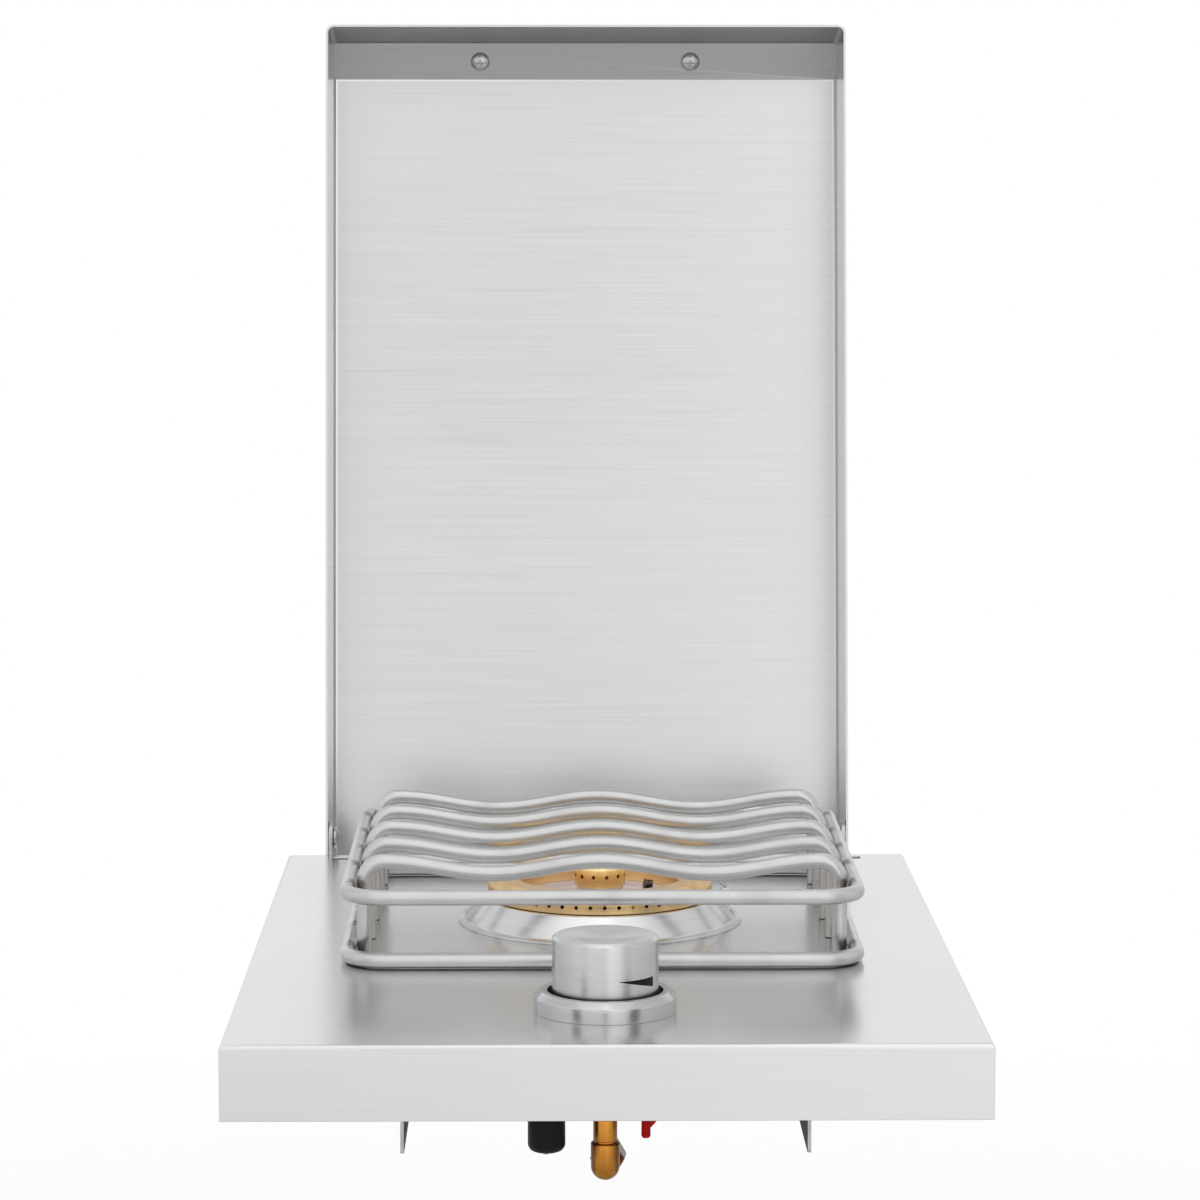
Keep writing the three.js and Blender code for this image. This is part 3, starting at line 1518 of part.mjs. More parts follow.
function makeLid() {
  const lid = new THREE.Group();
  lid.position.set(lidSideShift, pinY, pinHeight);
  lid.rotation.x = -THREE.MathUtils.degToRad(lidOpenAngle);
  unit.add(lid);

  const rearGap = block(-lidHalf - cutOverrun, lidHalf + cutOverrun,
    lidTail - lidCornerRadius, lidTail + cutOverrun,
    -lidEdgeBelowPin - cutOverrun, -lidEdgeBelowPin + lidRearOpening);
  const pinHole = drillAlongX(pinRadius + seatGap, -lidHalf - cutOverrun, lidHalf + cutOverrun, 0, 0);
  const cutters = [lidSolid(lidSheet), rearGap, pinHole];

  // The handle sits square on the front bevel: its own frame has +Z out of the bevel
  const rise = lidPanelHeight - lidFrontHeight;
  const slope = Math.atan2(rise, lidBevelReach);
  const bevelY = -lidReach + lidBevelReach / 2;
  const bevelZ = -lidEdgeBelowPin + lidFrontHeight + rise / 2;
  const onBevel = (solid) => solid.rotate([THREE.MathUtils.radToDeg(slope), 0, 0])
    .translate([0, bevelY, bevelZ]);
  for (const side of [-1, 1]) {
    const x = side * handlePostSpacing / 2;
    const screwHole = drill(handleScrewRadius + slideGap, -lidSheet - cutOverrun, cutOverrun, x, 0);
    cutters.push(onBevel(screwHole));
  }
  place('lid_shell', cut(lidSolid(0), ...cutters), 'brushedSteel', lid);

  const grip = new THREE.Group();
  grip.position.set(0, bevelY, bevelZ);
  grip.rotation.x = slope;
  lid.add(grip);
  const barEnd = handleBarLength / 2;
  const bar = revolveAlongX([
    [0, -barEnd],
    [handleBarRadius - handleBarEndRadius, -barEnd],
    [handleBarRadius, -barEnd + handleBarEndRadius],
    [handleBarRadius, barEnd - handleBarEndRadius],
    [handleBarRadius - handleBarEndRadius, barEnd],
    [0, barEnd],
  ], mediumSides, 0, handleStandOff);
  place('lid_handle_bar', bar, 'polishedSteel', grip);

  const saddle = drillAlongX(handleBarRadius + seatGap,
    -barEnd, barEnd, 0, handleStandOff, mediumSides);
  const names = ['left', 'right'];
  [-1, 1].forEach((side, i) => {
    const x = side * handlePostSpacing / 2;
    const pillar = revolve([
      [0, seatGap],
      [handlePostFootRadius, seatGap],
      [handlePostFootRadius, seatGap + handlePostFootHeight / 2],
      [handlePostRadius, seatGap + handlePostFootHeight],
      [handlePostRadius, handleStandOff],
      [0, handleStandOff],
    ], smallSides, x, 0);
    const bore = drill(handleScrewRadius + seatGap, -cutOverrun, handleScrewDepth + seatGap, x, 0);
    place(`handle_post_${names[i]}`, cut(pillar, saddle, bore), 'polishedSteel', grip);

    const seat = -lidSheet - seatGap;
    const screw = revolve([
      [0, handleScrewDepth],
      [handleScrewRadius, handleScrewDepth],
      [handleScrewRadius, seat],
      [handleScrewHeadRadius, seat],
      [handleScrewHeadRadius - handleScrewRadius / 2, seat - handleScrewHeadHeight * 2 / 3],
      [handleScrewHeadRadius / 2, seat - handleScrewHeadHeight],
      [0, seat - handleScrewHeadHeight],
    ], smallSides, x, 0);
    place(`handle_screw_${names[i]}`, screw, 'polishedSteel', grip);
  });
}

makeDeck();
makeGrate();
makeBurnerPot();
makeBurnerPlate();
makeBurnerRing();
makeBurnerCap();
makeCollar();
makeBurnerScrews();
makeMixer();
makeJet();
makeBezel();
makeKnob();
makeStem();
makeBracket();
makeValve();
makeValveScrews();
makeElbow();
makeIgniter();
makeSwitch();
makeLeads();
makeElectrode();
makeHinges();
makeLid();

export default sideBurner;
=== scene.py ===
"""Looks of the built-in side burner: smooth pieces, procedural finishes, floor, light and camera.

Sizes are in millimetres from the deck's top face and front edge, as in the part's source;
at() turns them into metres in the shared frame.
"""
import itertools
import math
import random

import bmesh
import bpy
from mathutils import Matrix, Vector


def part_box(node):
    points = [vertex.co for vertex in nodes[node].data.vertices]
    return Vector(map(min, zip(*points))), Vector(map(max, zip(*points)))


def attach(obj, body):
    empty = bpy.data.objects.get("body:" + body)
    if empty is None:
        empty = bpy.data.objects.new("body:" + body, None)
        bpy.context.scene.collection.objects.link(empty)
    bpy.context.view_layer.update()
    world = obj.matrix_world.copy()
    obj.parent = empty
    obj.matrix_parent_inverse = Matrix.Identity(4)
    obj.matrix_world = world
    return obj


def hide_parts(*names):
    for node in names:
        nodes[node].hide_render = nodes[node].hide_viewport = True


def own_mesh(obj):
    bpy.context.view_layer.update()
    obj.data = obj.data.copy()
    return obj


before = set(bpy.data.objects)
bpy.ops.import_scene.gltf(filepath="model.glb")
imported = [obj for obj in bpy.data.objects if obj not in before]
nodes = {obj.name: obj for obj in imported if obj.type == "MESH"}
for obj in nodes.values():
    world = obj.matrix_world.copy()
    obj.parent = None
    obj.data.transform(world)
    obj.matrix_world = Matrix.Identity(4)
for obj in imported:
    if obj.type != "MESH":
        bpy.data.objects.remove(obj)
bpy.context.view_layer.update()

MM = 0.001
FRONT_OVERHANG = 6
DECK_HALF = 158.75
DECK_DEPTH = 442
SKIRT = 31.8
QUARTER = math.pi / 2
TURN = math.tau


def at(x, y, z):
    return Vector((x, y - FRONT_OVERHANG, z + SKIRT)) * MM


def shown(name, data):
    """A new object in the scene."""
    thing = bpy.data.objects.new(name, data)
    bpy.context.scene.collection.objects.link(thing)
    return thing


# Node materials

class Graph:
    """A node tree that is put together by short calls."""

    def __init__(self, tree):
        self.tree = tree
        self.tree.nodes.clear()

    def add(self, kind, **settings):
        node = self.tree.nodes.new(kind)
        for name, value in settings.items():
            setattr(node, name, value)
        return node

    def feed(self, node, **values):
        """Fills a node's inputs; i0, i1 and so on name an input by its number."""
        for name, value in values.items():
            key = int(name[1:]) if name[0] == "i" and name[1:].isdigit() else name.replace("_", " ")
            socket = node.inputs[key]
            if isinstance(value, bpy.types.NodeSocket):
                self.tree.links.new(value, socket)
            else:
                socket.default_value = value
        return node

    def math(self, operation, a, b=0.0):
        return self.feed(self.add("ShaderNodeMath", operation=operation), i0=a, i1=b).outputs[0]

    def plus(self, a, b):
        return self.math("ADD", a, b)

    def times(self, a, b):
        return self.math("MULTIPLY", a, b)

    def size(self, value):
        return self.math("ABSOLUTE", value)

    def camera_ray(self):
        return self.add("ShaderNodeLightPath").outputs["Is Camera Ray"]

    def parts(self, vector):
        return self.feed(self.add("ShaderNodeSeparateXYZ"), i0=vector).outputs

    def ramp(self, value, low, high, to_low=0.0, to_high=1.0):
        node = self.add("ShaderNodeMapRange", clamp=True)
        self.feed(node, Value=value, i1=low, i2=high, i3=to_low, i4=to_high)
        return node.outputs[0]

    def blend(self, factor, a, b, mode="MIX"):
        node = self.add("ShaderNodeMix", data_type="RGBA", blend_type=mode)
        self.feed(node, i0=factor, i6=colour(a), i7=colour(b))
        return node.outputs[2]


class Finish(Graph):
    """A material round one Principled shader, with the object's own coordinates."""

    def __init__(self, name):
        self.material = bpy.data.materials.new(name)
        self.material.use_nodes = True
        super().__init__(self.material.node_tree)
        self.shader = self.add("ShaderNodeBsdfPrincipled")
        self.feed(self.add("ShaderNodeOutputMaterial"), Surface=self.shader.outputs[0])
        coordinates = self.add("ShaderNodeTexCoord")
        self.point = coordinates.outputs["Object"]
        self.normal = coordinates.outputs["Normal"]

    def stretched(self, scale):
        return self.feed(self.add("ShaderNodeMapping"), Vector=self.point, Scale=scale).outputs[0]

    def noise(self, scale, vector=None, detail=2.0, roughness=0.5, distortion=0.0):
        node = self.add("ShaderNodeTexNoise")
        self.feed(node, Scale=scale, Detail=detail, Roughness=roughness, Distortion=distortion,
                  Vector=vector or self.point)
        return node.outputs["Fac"]

    def bump(self, height, distance, strength):
        node = self.add("ShaderNodeBump")
        return self.feed(node, Height=height, Distance=distance, Strength=strength).outputs[0]

    def polar(self, centre, ring_scale, turn_scale):
        """Coordinates that run round an upright axis, for noise that gives turning marks; and the height."""
        moved = self.add("ShaderNodeVectorMath", operation="SUBTRACT")
        x, y, z = self.parts(self.feed(moved, i0=self.point, i1=centre).outputs[0])
        angle = self.math("ARCTAN2", y, x)
        radius = self.math("SQRT", self.plus(self.times(x, x), self.times(y, y)))
        turned = self.add("ShaderNodeCombineXYZ")
        self.feed(turned, i0=self.times(radius, ring_scale), i1=self.times(z, ring_scale),
                  i2=self.times(angle, turn_scale))
        return turned.outputs[0], z

    def surface(self, **values):
        self.feed(self.shader, **values)
        return self.material


def colour(value):
    """A colour with its alpha; a socket is passed on."""
    return (*value, 1.0) if isinstance(value, tuple) else value


def shade(base, factor):
    return tuple(channel * factor for channel in base)


def grained(f, lines, base, contrast, lift=0.5):
    """The base colour, darker in the troughs of a grain and a little lighter on its crests."""
    return f.blend(f.ramp(lines, 0.35, 0.65), shade(base, 1 - contrast), shade(base, 1 + contrast * lift))


def brushed_sheet(name, base, roughness, side_scale, contrast=0.03, dull=None, raw_share=0.4):
    """Sheet steel with long grain along X; side_scale gives the grain on walls that face along X.

    dull(finish) returns a mask from 0 to 1 of faces that get painted shade, a darker copy of the base
    colour, and a rougher, unpolished finish; the last argument is the share of the base colour that they
    keep.
    """
    f = Finish(name)
    facing = f.parts(f.normal)[0]
    on_side = f.math("GREATER_THAN", f.size(facing), 0.7)

    def grain(front_scale, wall_scale, detail):
        front = f.noise(1.0, f.stretched(front_scale), detail=detail)
        wall = f.noise(1.0, f.stretched(wall_scale), detail=detail)
        node = f.add("ShaderNodeMix", data_type="FLOAT")
        return f.feed(node, i0=on_side, i2=front, i3=wall).outputs[0]

    hair = grain((14, 2300, 2300), tuple(2300 if s else 14 for s in side_scale), 3)
    streak = grain((3, 260, 260), tuple(260 if s else 3 for s in side_scale), 2)
    wiped = f.noise(7.0, detail=3, distortion=0.6)
    print_marks = f.ramp(f.noise(38.0, detail=4, distortion=1.2), 0.56, 0.72)
    lines = f.plus(f.times(hair, 0.75), f.times(streak, 0.25))
    tone = grained(f, lines, base, contrast, 0.6)
    tone = f.blend(f.ramp(wiped, 0.35, 0.75, 0.0, 0.08), tone, shade(base, 0.88))
    rough = f.plus(f.ramp(lines, 0.3, 0.7, roughness - 0.03, roughness + 0.03),
                   f.ramp(wiped, 0.3, 0.8, -0.015, 0.03))
    rough = f.plus(rough, f.times(print_marks, 0.008))
    # Painted shade: the masked faces take a darker copy of the base colour, and their roughness rises.
    if dull:
        painted_shade = dull(f)
        tone = f.blend(painted_shade, tone, shade(base, raw_share))
        rough = f.plus(rough, f.times(painted_shade, 0.18))
    return f.surface(Base_Color=tone, Metallic=1.0, Roughness=rough,
                     Normal=f.bump(lines, 0.000006, 0.35))


def inside_deck(f):
    """Inside the folded tray, a sheet's thickness within its outer faces; these faces take painted shade."""
    x, y, z = f.parts(f.point)
    low = at(-DECK_HALF + 0.7, 0.7, 0)
    high = at(DECK_HALF - 0.7, DECK_DEPTH - 0.7, -0.7)
    mask = f.math("LESS_THAN", z, high.z)
    for value, least, most in ((x, low.x, high.x), (y, low.y, high.y)):
        mask = f.times(mask, f.math("GREATER_THAN", value, least))
        mask = f.times(mask, f.math("LESS_THAN", value, most))
    return mask


def under_lid_brow(f):
    """The inner faces of the lid's front wall and bevel, which look down in the open pose; they take painted
    shade.
    """
    facing = f.parts(f.normal)[2]
    return f.math("MAXIMUM", f.ramp(facing, -0.2, -0.26, 0.0, 0.33), f.ramp(facing, -0.9, -0.96, 0.0, 0.62))


def turned_metal(name, base, roughness, centre, contrast=0.08, anisotropic=0.0, tint=None, bands=()):
    """Metal with fine turning marks about an upright axis, with a wear tint that noise spreads.

    Each of the bands is a stain between two heights over the deck, with its colour and share.
    """
    f = Finish(name)
    rings, height = f.polar(centre, 2600, 0.9)
    marks = f.noise(1.0, rings, detail=2)
    wide, _ = f.polar(centre, 420, 1.4)
    waves = f.noise(1.0, wide, detail=2)
    lines = f.plus(f.times(marks, 0.6), f.times(waves, 0.4))
    tone = grained(f, lines, base, contrast)
    if tint:
        spots = f.noise(55.0, detail=4, distortion=0.8)
        tone = f.blend(f.ramp(spots, 0.42, 0.72, 0.0, 0.5), tone, tint)
    for foot, head, stain, share in bands:
        low, high = at(0, 0, foot).z, at(0, 0, head).z
        inside = f.times(f.ramp(height, low - 0.0004, low), f.ramp(height, high, high + 0.0004, 1, 0))
        ragged = f.ramp(f.noise(140.0, detail=3), 0.25, 0.6, 0.55, 1.0)
        amount = f.times(f.times(inside, ragged), share)
        tone = f.blend(amount, tone, stain)
    dull = f.noise(20.0, detail=3)
    rough = f.plus(f.ramp(lines, 0.3, 0.7, roughness - 0.04, roughness + 0.04),
                   f.ramp(dull, 0.35, 0.75, -0.01, 0.04))
    f.surface(Base_Color=tone, Metallic=1.0, Roughness=rough, Normal=f.bump(lines, 0.000006, 0.4))
    if anisotropic:
        tangent = f.add("ShaderNodeTangent", direction_type="RADIAL", axis="Z")
        f.surface(Anisotropic=anisotropic, Anisotropic_Rotation=0.25, Tangent=tangent.outputs[0])
    return f.material


def plain_metal(name, base, roughness, grain=900.0, contrast=0.08, tint=None, bump=0.00001, burnt=None,
                stain=(0.13, 0.11, 0.095)):
    """Drawn or machined metal: fine grain, dull patches and a little tarnish.

    The darkening mask, a function of the finish, gives from 0 to 1 the places that go to the stain colour:
    heat marks on the grate, painted shade on the brass inlet.
    """
    f = Finish(name)
    fine = f.noise(grain, detail=4, roughness=0.6)
    patch = f.noise(45.0, detail=4, distortion=0.7)
    tone = grained(f, fine, base, contrast)
    if tint:
        tone = f.blend(f.ramp(patch, 0.45, 0.75, 0.0, 0.55), tone, tint)
    # Darkens to the stain colour: heat marks on the grate, painted shade on the brass inlet.
    if burnt:
        tone = f.blend(burnt(f), tone, stain)
    rough = f.plus(f.ramp(fine, 0.3, 0.7, roughness - 0.04, roughness + 0.05),
                   f.ramp(patch, 0.35, 0.75, -0.02, 0.05))
    return f.surface(Base_Color=tone, Metallic=1.0, Roughness=rough, Normal=f.bump(fine, bump, 0.4))


def at_rod_welds(f):
    """The heat marks where the bars' legs are welded to the grate's two loops."""
    x, y, z = f.parts(f.point)
    first = BAR_Y[0] - FRONT_OVERHANG - BAR_SPACING / 2
    share = f.math("FRACT", f.times(f.math("SUBTRACT", y, first * MM), 1 / (BAR_SPACING * MM)))
    from_bar = f.times(f.size(f.math("SUBTRACT", share, 0.5)), BAR_SPACING * MM)
    aside = f.size(f.math("SUBTRACT", f.size(x), (LEG_X + ROD) * MM))
    from_loops = [f.size(f.math("SUBTRACT", z, (height + SKIRT) * MM)) for height in reversed(LOOP_Z)]
    upright = f.math("MINIMUM", *from_loops)
    far = f.math("MAXIMUM", f.math("MAXIMUM", from_bar, upright), f.times(aside, 1.3))
    ragged = f.ramp(f.noise(260.0, detail=4), 0.3, 0.7, -0.0016, 0.0016)
    return f.ramp(f.plus(far, ragged), 0.0035, 0.0065, 0.8, 0.0)


def inlet_flank_shade(f):
    """Painted shade, darker on the inlet's flanks and towards its foot."""
    x, y, z = f.parts(f.point)
    ragged = f.ramp(f.noise(120.0, detail=2), 0.3, 0.7, -0.0004, 0.0004)
    flanks = f.ramp(f.plus(f.size(x), ragged), 0.0021, 0.0048, 0.0, 0.92)
    foot = f.ramp(f.plus(z, ragged), -0.026, -0.042, 0.0, 0.72)
    return f.math("MAXIMUM", flanks, foot)


def on_inner_walls(f):
    """The bracket's walls that face its middle, which take painted shade."""
    facing = f.parts(f.normal)[0]
    side = f.parts(f.point)[0]
    inward = f.times(facing, f.math("SIGN", side))
    return f.ramp(inward, -0.3, -0.7)


def spangled_zinc(name, dull=None):
    """Galvanised sheet: crystals of slightly different grey with fine scratches."""
    f = Finish(name)
    cells = f.add("ShaderNodeTexVoronoi", feature="F1")
    f.feed(cells, Vector=f.point, Scale=210.0, Randomness=1.0)
    grey = f.feed(f.add("ShaderNodeSeparateColor"), i0=cells.outputs["Color"]).outputs[0]
    fine = f.noise(1500.0, detail=4)
    scratch = f.ramp(f.noise(1.0, f.stretched((40, 900, 900)), detail=3), 0.62, 0.7)
    tone = f.blend(grey, (0.42, 0.43, 0.44), (0.56, 0.57, 0.58))
    tone = f.blend(f.times(scratch, 0.35), tone, (0.68, 0.69, 0.70))
    rough = f.plus(f.ramp(grey, 0, 1, 0.30, 0.46), f.ramp(fine, 0.3, 0.7, -0.04, 0.05))
    f.surface(Metallic=0.95)
    # Painted shade: the masked walls take a dark, matte, barely metallic colour.
    if dull:
        inner_shade = dull(f)
        tone = f.blend(inner_shade, tone, f.blend(grey, (0.05, 0.05, 0.052), (0.075, 0.075, 0.078)))
        rough = f.plus(rough, f.times(inner_shade, 0.4))
        f.surface(Metallic=f.times(f.math("SUBTRACT", 1.0, inner_shade), 0.95), Specular_IOR_Level=0.1)
    return f.surface(Base_Color=tone, Roughness=rough, Normal=f.bump(fine, 0.00002, 0.5))


def cast_metal(name):
    """Cast aluminium with a sand-cast skin and a warm heat stain."""
    f = Finish(name)
    grit = f.noise(1100.0, detail=5, roughness=0.65)
    lumps = f.noise(160.0, detail=3)
    stain = f.noise(28.0, detail=4, distortion=0.6)
    tone = f.blend(f.ramp(grit, 0.35, 0.65), (0.74, 0.68, 0.665), (0.92, 0.86, 0.845))
    tone = f.blend(f.ramp(stain, 0.4, 0.75, 0.0, 0.3), tone, (0.76, 0.60, 0.54))
    height = f.plus(f.times(grit, 0.5), lumps)
    return f.surface(Base_Color=tone, Metallic=0.75, Roughness=f.ramp(grit, 0.3, 0.7, 0.30, 0.46),
                     Normal=f.bump(height, 0.00005, 0.4))


def moulded(name, base, roughness, grain=1400.0, scuff=0.3, bump=0.00003, specular=0.5):
    """Moulded plastic or rubber with a fine texture and scuffs in patches."""
    f = Finish(name)
    fine = f.noise(grain, detail=4, roughness=0.6)
    patch = f.noise(60.0, detail=4, distortion=0.9)
    rubbed = f.ramp(patch, 0.5, 0.75, 0.0, scuff)
    tone = f.blend(f.ramp(fine, 0.3, 0.7), shade(base, 0.8), shade(base, 1.25))
    tone = f.blend(rubbed, tone, tuple(channel * 1.5 + 0.01 for channel in base))
    rough = f.plus(f.ramp(fine, 0.3, 0.7, roughness - 0.06, roughness + 0.06),
                   f.ramp(patch, 0.4, 0.8, 0.0, 0.1))
    return f.surface(Base_Color=tone, Metallic=0.0, Roughness=rough, Specular_IOR_Level=specular,
                     Normal=f.bump(fine, bump, 0.6))


BURNER_Y = 268
KNOB_Y = 67
IGNITER_X = -25
CONTROL_Y = 64
BURNER = at(0, BURNER_Y, 0)
KNOB = at(0, KNOB_Y, 0)
IGNITER = at(IGNITER_X, CONTROL_Y, 0)

# The grate's rods, used by its shapes and by the marks of its welds
ROD = 3.5
GRATE_SIDE = 118
LOOP_HALF = GRATE_SIDE - ROD
CORNER = 17
BAR_SPACING = 45
BAR_Y = [BURNER_Y + (i - 2) * BAR_SPACING for i in range(5)]
LEG_X = GRATE_SIDE - 2 * ROD - 0.3 - ROD
LOOP_Z = (0.15 + ROD, 32)
BAR_CREST = 47.5 - ROD
BAR_DIP = 2.8

# The burner's heights over the deck, and its electrode's distance from its axis
ELECTRODE_X = 59.3
PLATE_TOP = 12
RING_TOP = 21
CAP_BASE = 16.5
CAP_TOP = 27

RING_BANDS = (
    (PLATE_TOP - 1, PLATE_TOP + 1.1, (0.44, 0.20, 0.08), 0.7),
    (RING_TOP - 1.1, RING_TOP + 1, (0.62, 0.38, 0.20), 0.8),
)
CAP_BANDS = (
    (CAP_BASE - 1, CAP_BASE + 1, (0.66, 0.36, 0.14), 0.5),
    (CAP_TOP - 1, CAP_TOP + 1, (0.66, 0.38, 0.15), 0.5),
)

looks = {}


def look(make, name, *values, **more):
    """Makes a look and keeps it under its name."""
    looks[name] = make(name, *values, **more)


# The deck's inner faces and the lid's downward faces take painted shade through their masks.
look(brushed_sheet, "deck_steel", (0.70, 0.702, 0.702), 0.20, (1, 0, 1), dull=inside_deck)
look(brushed_sheet, "lid_steel", (0.665, 0.668, 0.668), 0.24, (1, 1, 0), dull=under_lid_brow,
     raw_share=0.26)
look(plain_metal, "grate_rod", (0.60, 0.605, 0.605), 0.36, grain=1500.0, contrast=0.05,
     tint=(0.50, 0.49, 0.47), burnt=at_rod_welds)
look(turned_metal, "collar_steel", (0.74, 0.745, 0.75), 0.23, BURNER, contrast=0.05)
look(turned_metal, "bezel_steel", (0.56, 0.565, 0.57), 0.14, KNOB, contrast=0.05)
look(turned_metal, "knob_steel", (0.62, 0.625, 0.63), 0.24, KNOB, contrast=0.06, anisotropic=0.75)
look(plain_metal, "handle_steel", (0.62, 0.625, 0.63), 0.22, grain=1300.0, contrast=0.03, bump=0.000003)
look(plain_metal, "fastener_steel", (0.55, 0.55, 0.55), 0.27, tint=(0.42, 0.40, 0.37))
look(plain_metal, "spring_steel", (0.52, 0.52, 0.53), 0.28, tint=(0.36, 0.33, 0.30))
look(spangled_zinc, "galvanised_steel")
# The bracket's inner walls take painted shade.
look(spangled_zinc, "bracket_zinc", dull=on_inner_walls)
look(cast_metal, "cast_aluminium")
look(turned_metal, "ring_brass", (0.94, 0.66, 0.32), 0.30, BURNER, contrast=0.10,
     tint=(0.80, 0.50, 0.27), bands=RING_BANDS)
look(turned_metal, "cap_brass", (0.98, 0.72, 0.34), 0.30, BURNER, contrast=0.08,
     tint=(0.95, 0.60, 0.25), bands=CAP_BANDS)
look(plain_metal, "fitting_brass", (0.60, 0.27, 0.065), 0.30, grain=700.0, contrast=0.14,
     tint=(0.27, 0.115, 0.03), bump=0.00002)
# The inlet's dark stain colour is painted shade, on its flanks and towards its foot.
look(plain_metal, "inlet_brass", (0.70, 0.30, 0.048), 0.26, grain=1300.0, contrast=0.06,
     tint=(0.36, 0.145, 0.03), burnt=inlet_flank_shade, stain=(0.10, 0.04, 0.010))
look(moulded, "black_plastic", (0.004, 0.004, 0.0042), 0.42, scuff=0.12, specular=0.17)
look(moulded, "black_rubber", (0.010, 0.010, 0.011), 0.72, grain=900.0, bump=0.00005, specular=0.25)
look(moulded, "lead_jacket", (0.012, 0.012, 0.013), 0.5, grain=1800.0, specular=0.35)
look(moulded, "red_sleeve", (0.40, 0.002, 0.003), 0.45, grain=1100.0, scuff=0.1, specular=0.12)
look(moulded, "ceramic", (0.80, 0.79, 0.77), 0.25, grain=600.0, scuff=0.15, bump=0.00001)
look(plain_metal, "battery_can", (0.40, 0.42, 0.45), 0.3, tint=(0.25, 0.25, 0.26))


# Meshes

def mesh_of(name, vertices, faces):
    mesh = bpy.data.meshes.new(name)
    mesh.from_pydata([tuple(v) for v in vertices], [], faces)
    return mesh


def piece(name, vertices, faces, *place, sharp=34):
    """A new piece; its place is its look, its body and the nodes that it stands for."""
    mesh = mesh_of(name, vertices, faces)
    mesh.validate()
    return finished(name, mesh, *place, sharp=sharp)


def finished(name, mesh, slot_name, body, *stands_for, sharp=34):
    work = bmesh.new()
    work.from_mesh(mesh)
    bmesh.ops.remove_doubles(work, verts=work.verts, dist=1e-7)
    bmesh.ops.recalc_face_normals(work, faces=work.faces)
    limit = math.radians(sharp)
    for face in work.faces:
        face.smooth = True
    for edge in work.edges:
        edge.smooth = len(edge.link_faces) == 2 and edge.calc_face_angle(0.0) < limit
    work.to_mesh(mesh)
    work.free()
    thing = shown(name, mesh)
    mesh.materials.clear()
    mesh.materials.append(looks[slot_name])
    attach(thing, body)
    if stands_for:
        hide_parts(*stands_for)
    return thing


def arc_corner(before, corner, after, radius, steps):
    """The points of a fillet that rounds a corner of a flat outline."""
    here = Vector(corner)
    back = Vector(before) - here
    ahead = Vector(after) - here
    reach = min(back.length, ahead.length) * 0.49
    back.normalize()
    ahead.normalize()
    half = math.acos(max(-1.0, min(1.0, back.dot(ahead)))) / 2
    if half < 0.02 or half > QUARTER - 0.02:
        return [here]
    radius = min(radius, reach * math.tan(half))
    centre = here + (back + ahead).normalized() * (radius / math.sin(half))
    start = here + back * (radius / math.tan(half)) - centre
    end = here + ahead * (radius / math.tan(half)) - centre
    turn = start.angle_signed(end)
    points = []
    for i in range(steps + 1):
        spun = start.copy()
        spun.rotate(Matrix.Rotation(-turn * i / steps, 2))
        points.append(centre + spun)
    return points


def rounded(profile, radius=0.4, steps=3, closed=False):
    """A profile of (radius, height) with each inner corner rounded; a third value overrides the radius."""
    points = []
    last = len(profile) - 1
    for i, corner in enumerate(profile):
        size = corner[2] if len(corner) > 2 else radius
        at_end = not closed and i in (0, last)
        if at_end or not size or corner[0] <= 0:
            points.append(Vector(corner[:2]))
            continue
        before = profile[i - 1][:2]
        after = profile[(i + 1) % len(profile)][:2]
        points.extend(arc_corner(before, corner[:2], after, size, steps))
    return points


AXES = {
    "Z": Matrix.Identity(3),
    "X": Matrix(((0, 0, 1), (1, 0, 0), (0, 1, 0))),
    "Y": Matrix(((1, 0, 0), (0, 0, 1), (0, -1, 0))),
}


def turned(degrees, axis):
    return Matrix.Rotation(math.radians(degrees), 3, axis)


def joined(*meshes):
    """One list of vertices and one of faces from several meshes."""
    vertices = []
    faces = []
    for more_vertices, more_faces in meshes:
        start = len(vertices)
        vertices.extend(more_vertices)
        faces.extend([start + k for k in face] for face in more_faces)
    return vertices, faces


def band(low, high, count):
    """The faces between two rings of vertices, which are named by their first ones."""
    return [[low + k, low + (k + 1) % count, high + (k + 1) % count, high + k] for k in range(count)]


def placed(mesh, centre, turn=AXES["Z"]):
    """Turns a mesh in millimetres and puts it in its place in metres."""
    vertices, faces = mesh
    return [turn @ v * MM + centre for v in vertices], faces


def lathe_mesh(profile, sides, closed=False, shape=None):
    """Vertices and faces of a revolve about +Z in millimetres; shape(radius, angle) may bend the radius."""
    vertices = []
    faces = []
    rings = []
    for radius, height in profile:
        if radius < 1e-6:
            rings.append([len(vertices)] * sides)
            vertices.append(Vector((0, 0, height)))
            continue
        ring = []
        for k in range(sides):
            angle = TURN * k / sides
            reach = shape(radius, angle) if shape else radius
            ring.append(len(vertices))
            vertices.append(Vector((math.cos(angle) * reach, math.sin(angle) * reach, height)))
        rings.append(ring)
    pairs = list(zip(rings, rings[1:]))
    if closed:
        pairs.append((rings[-1], rings[0]))
    for low, high in pairs:
        for k in range(sides):
            n = (k + 1) % sides
            face = list(dict.fromkeys((low[k], low[n], high[n], high[k])))
            if len(face) > 2:
                faces.append(face)
    return vertices, faces


def lathe(name, profile, centre, *place, turn=AXES["Z"], sides=96, closed=False, shape=None, sharp=34):
    mesh = placed(lathe_mesh(profile, sides, closed, shape), centre, turn)
    return piece(name, *mesh, *place, sharp=sharp)


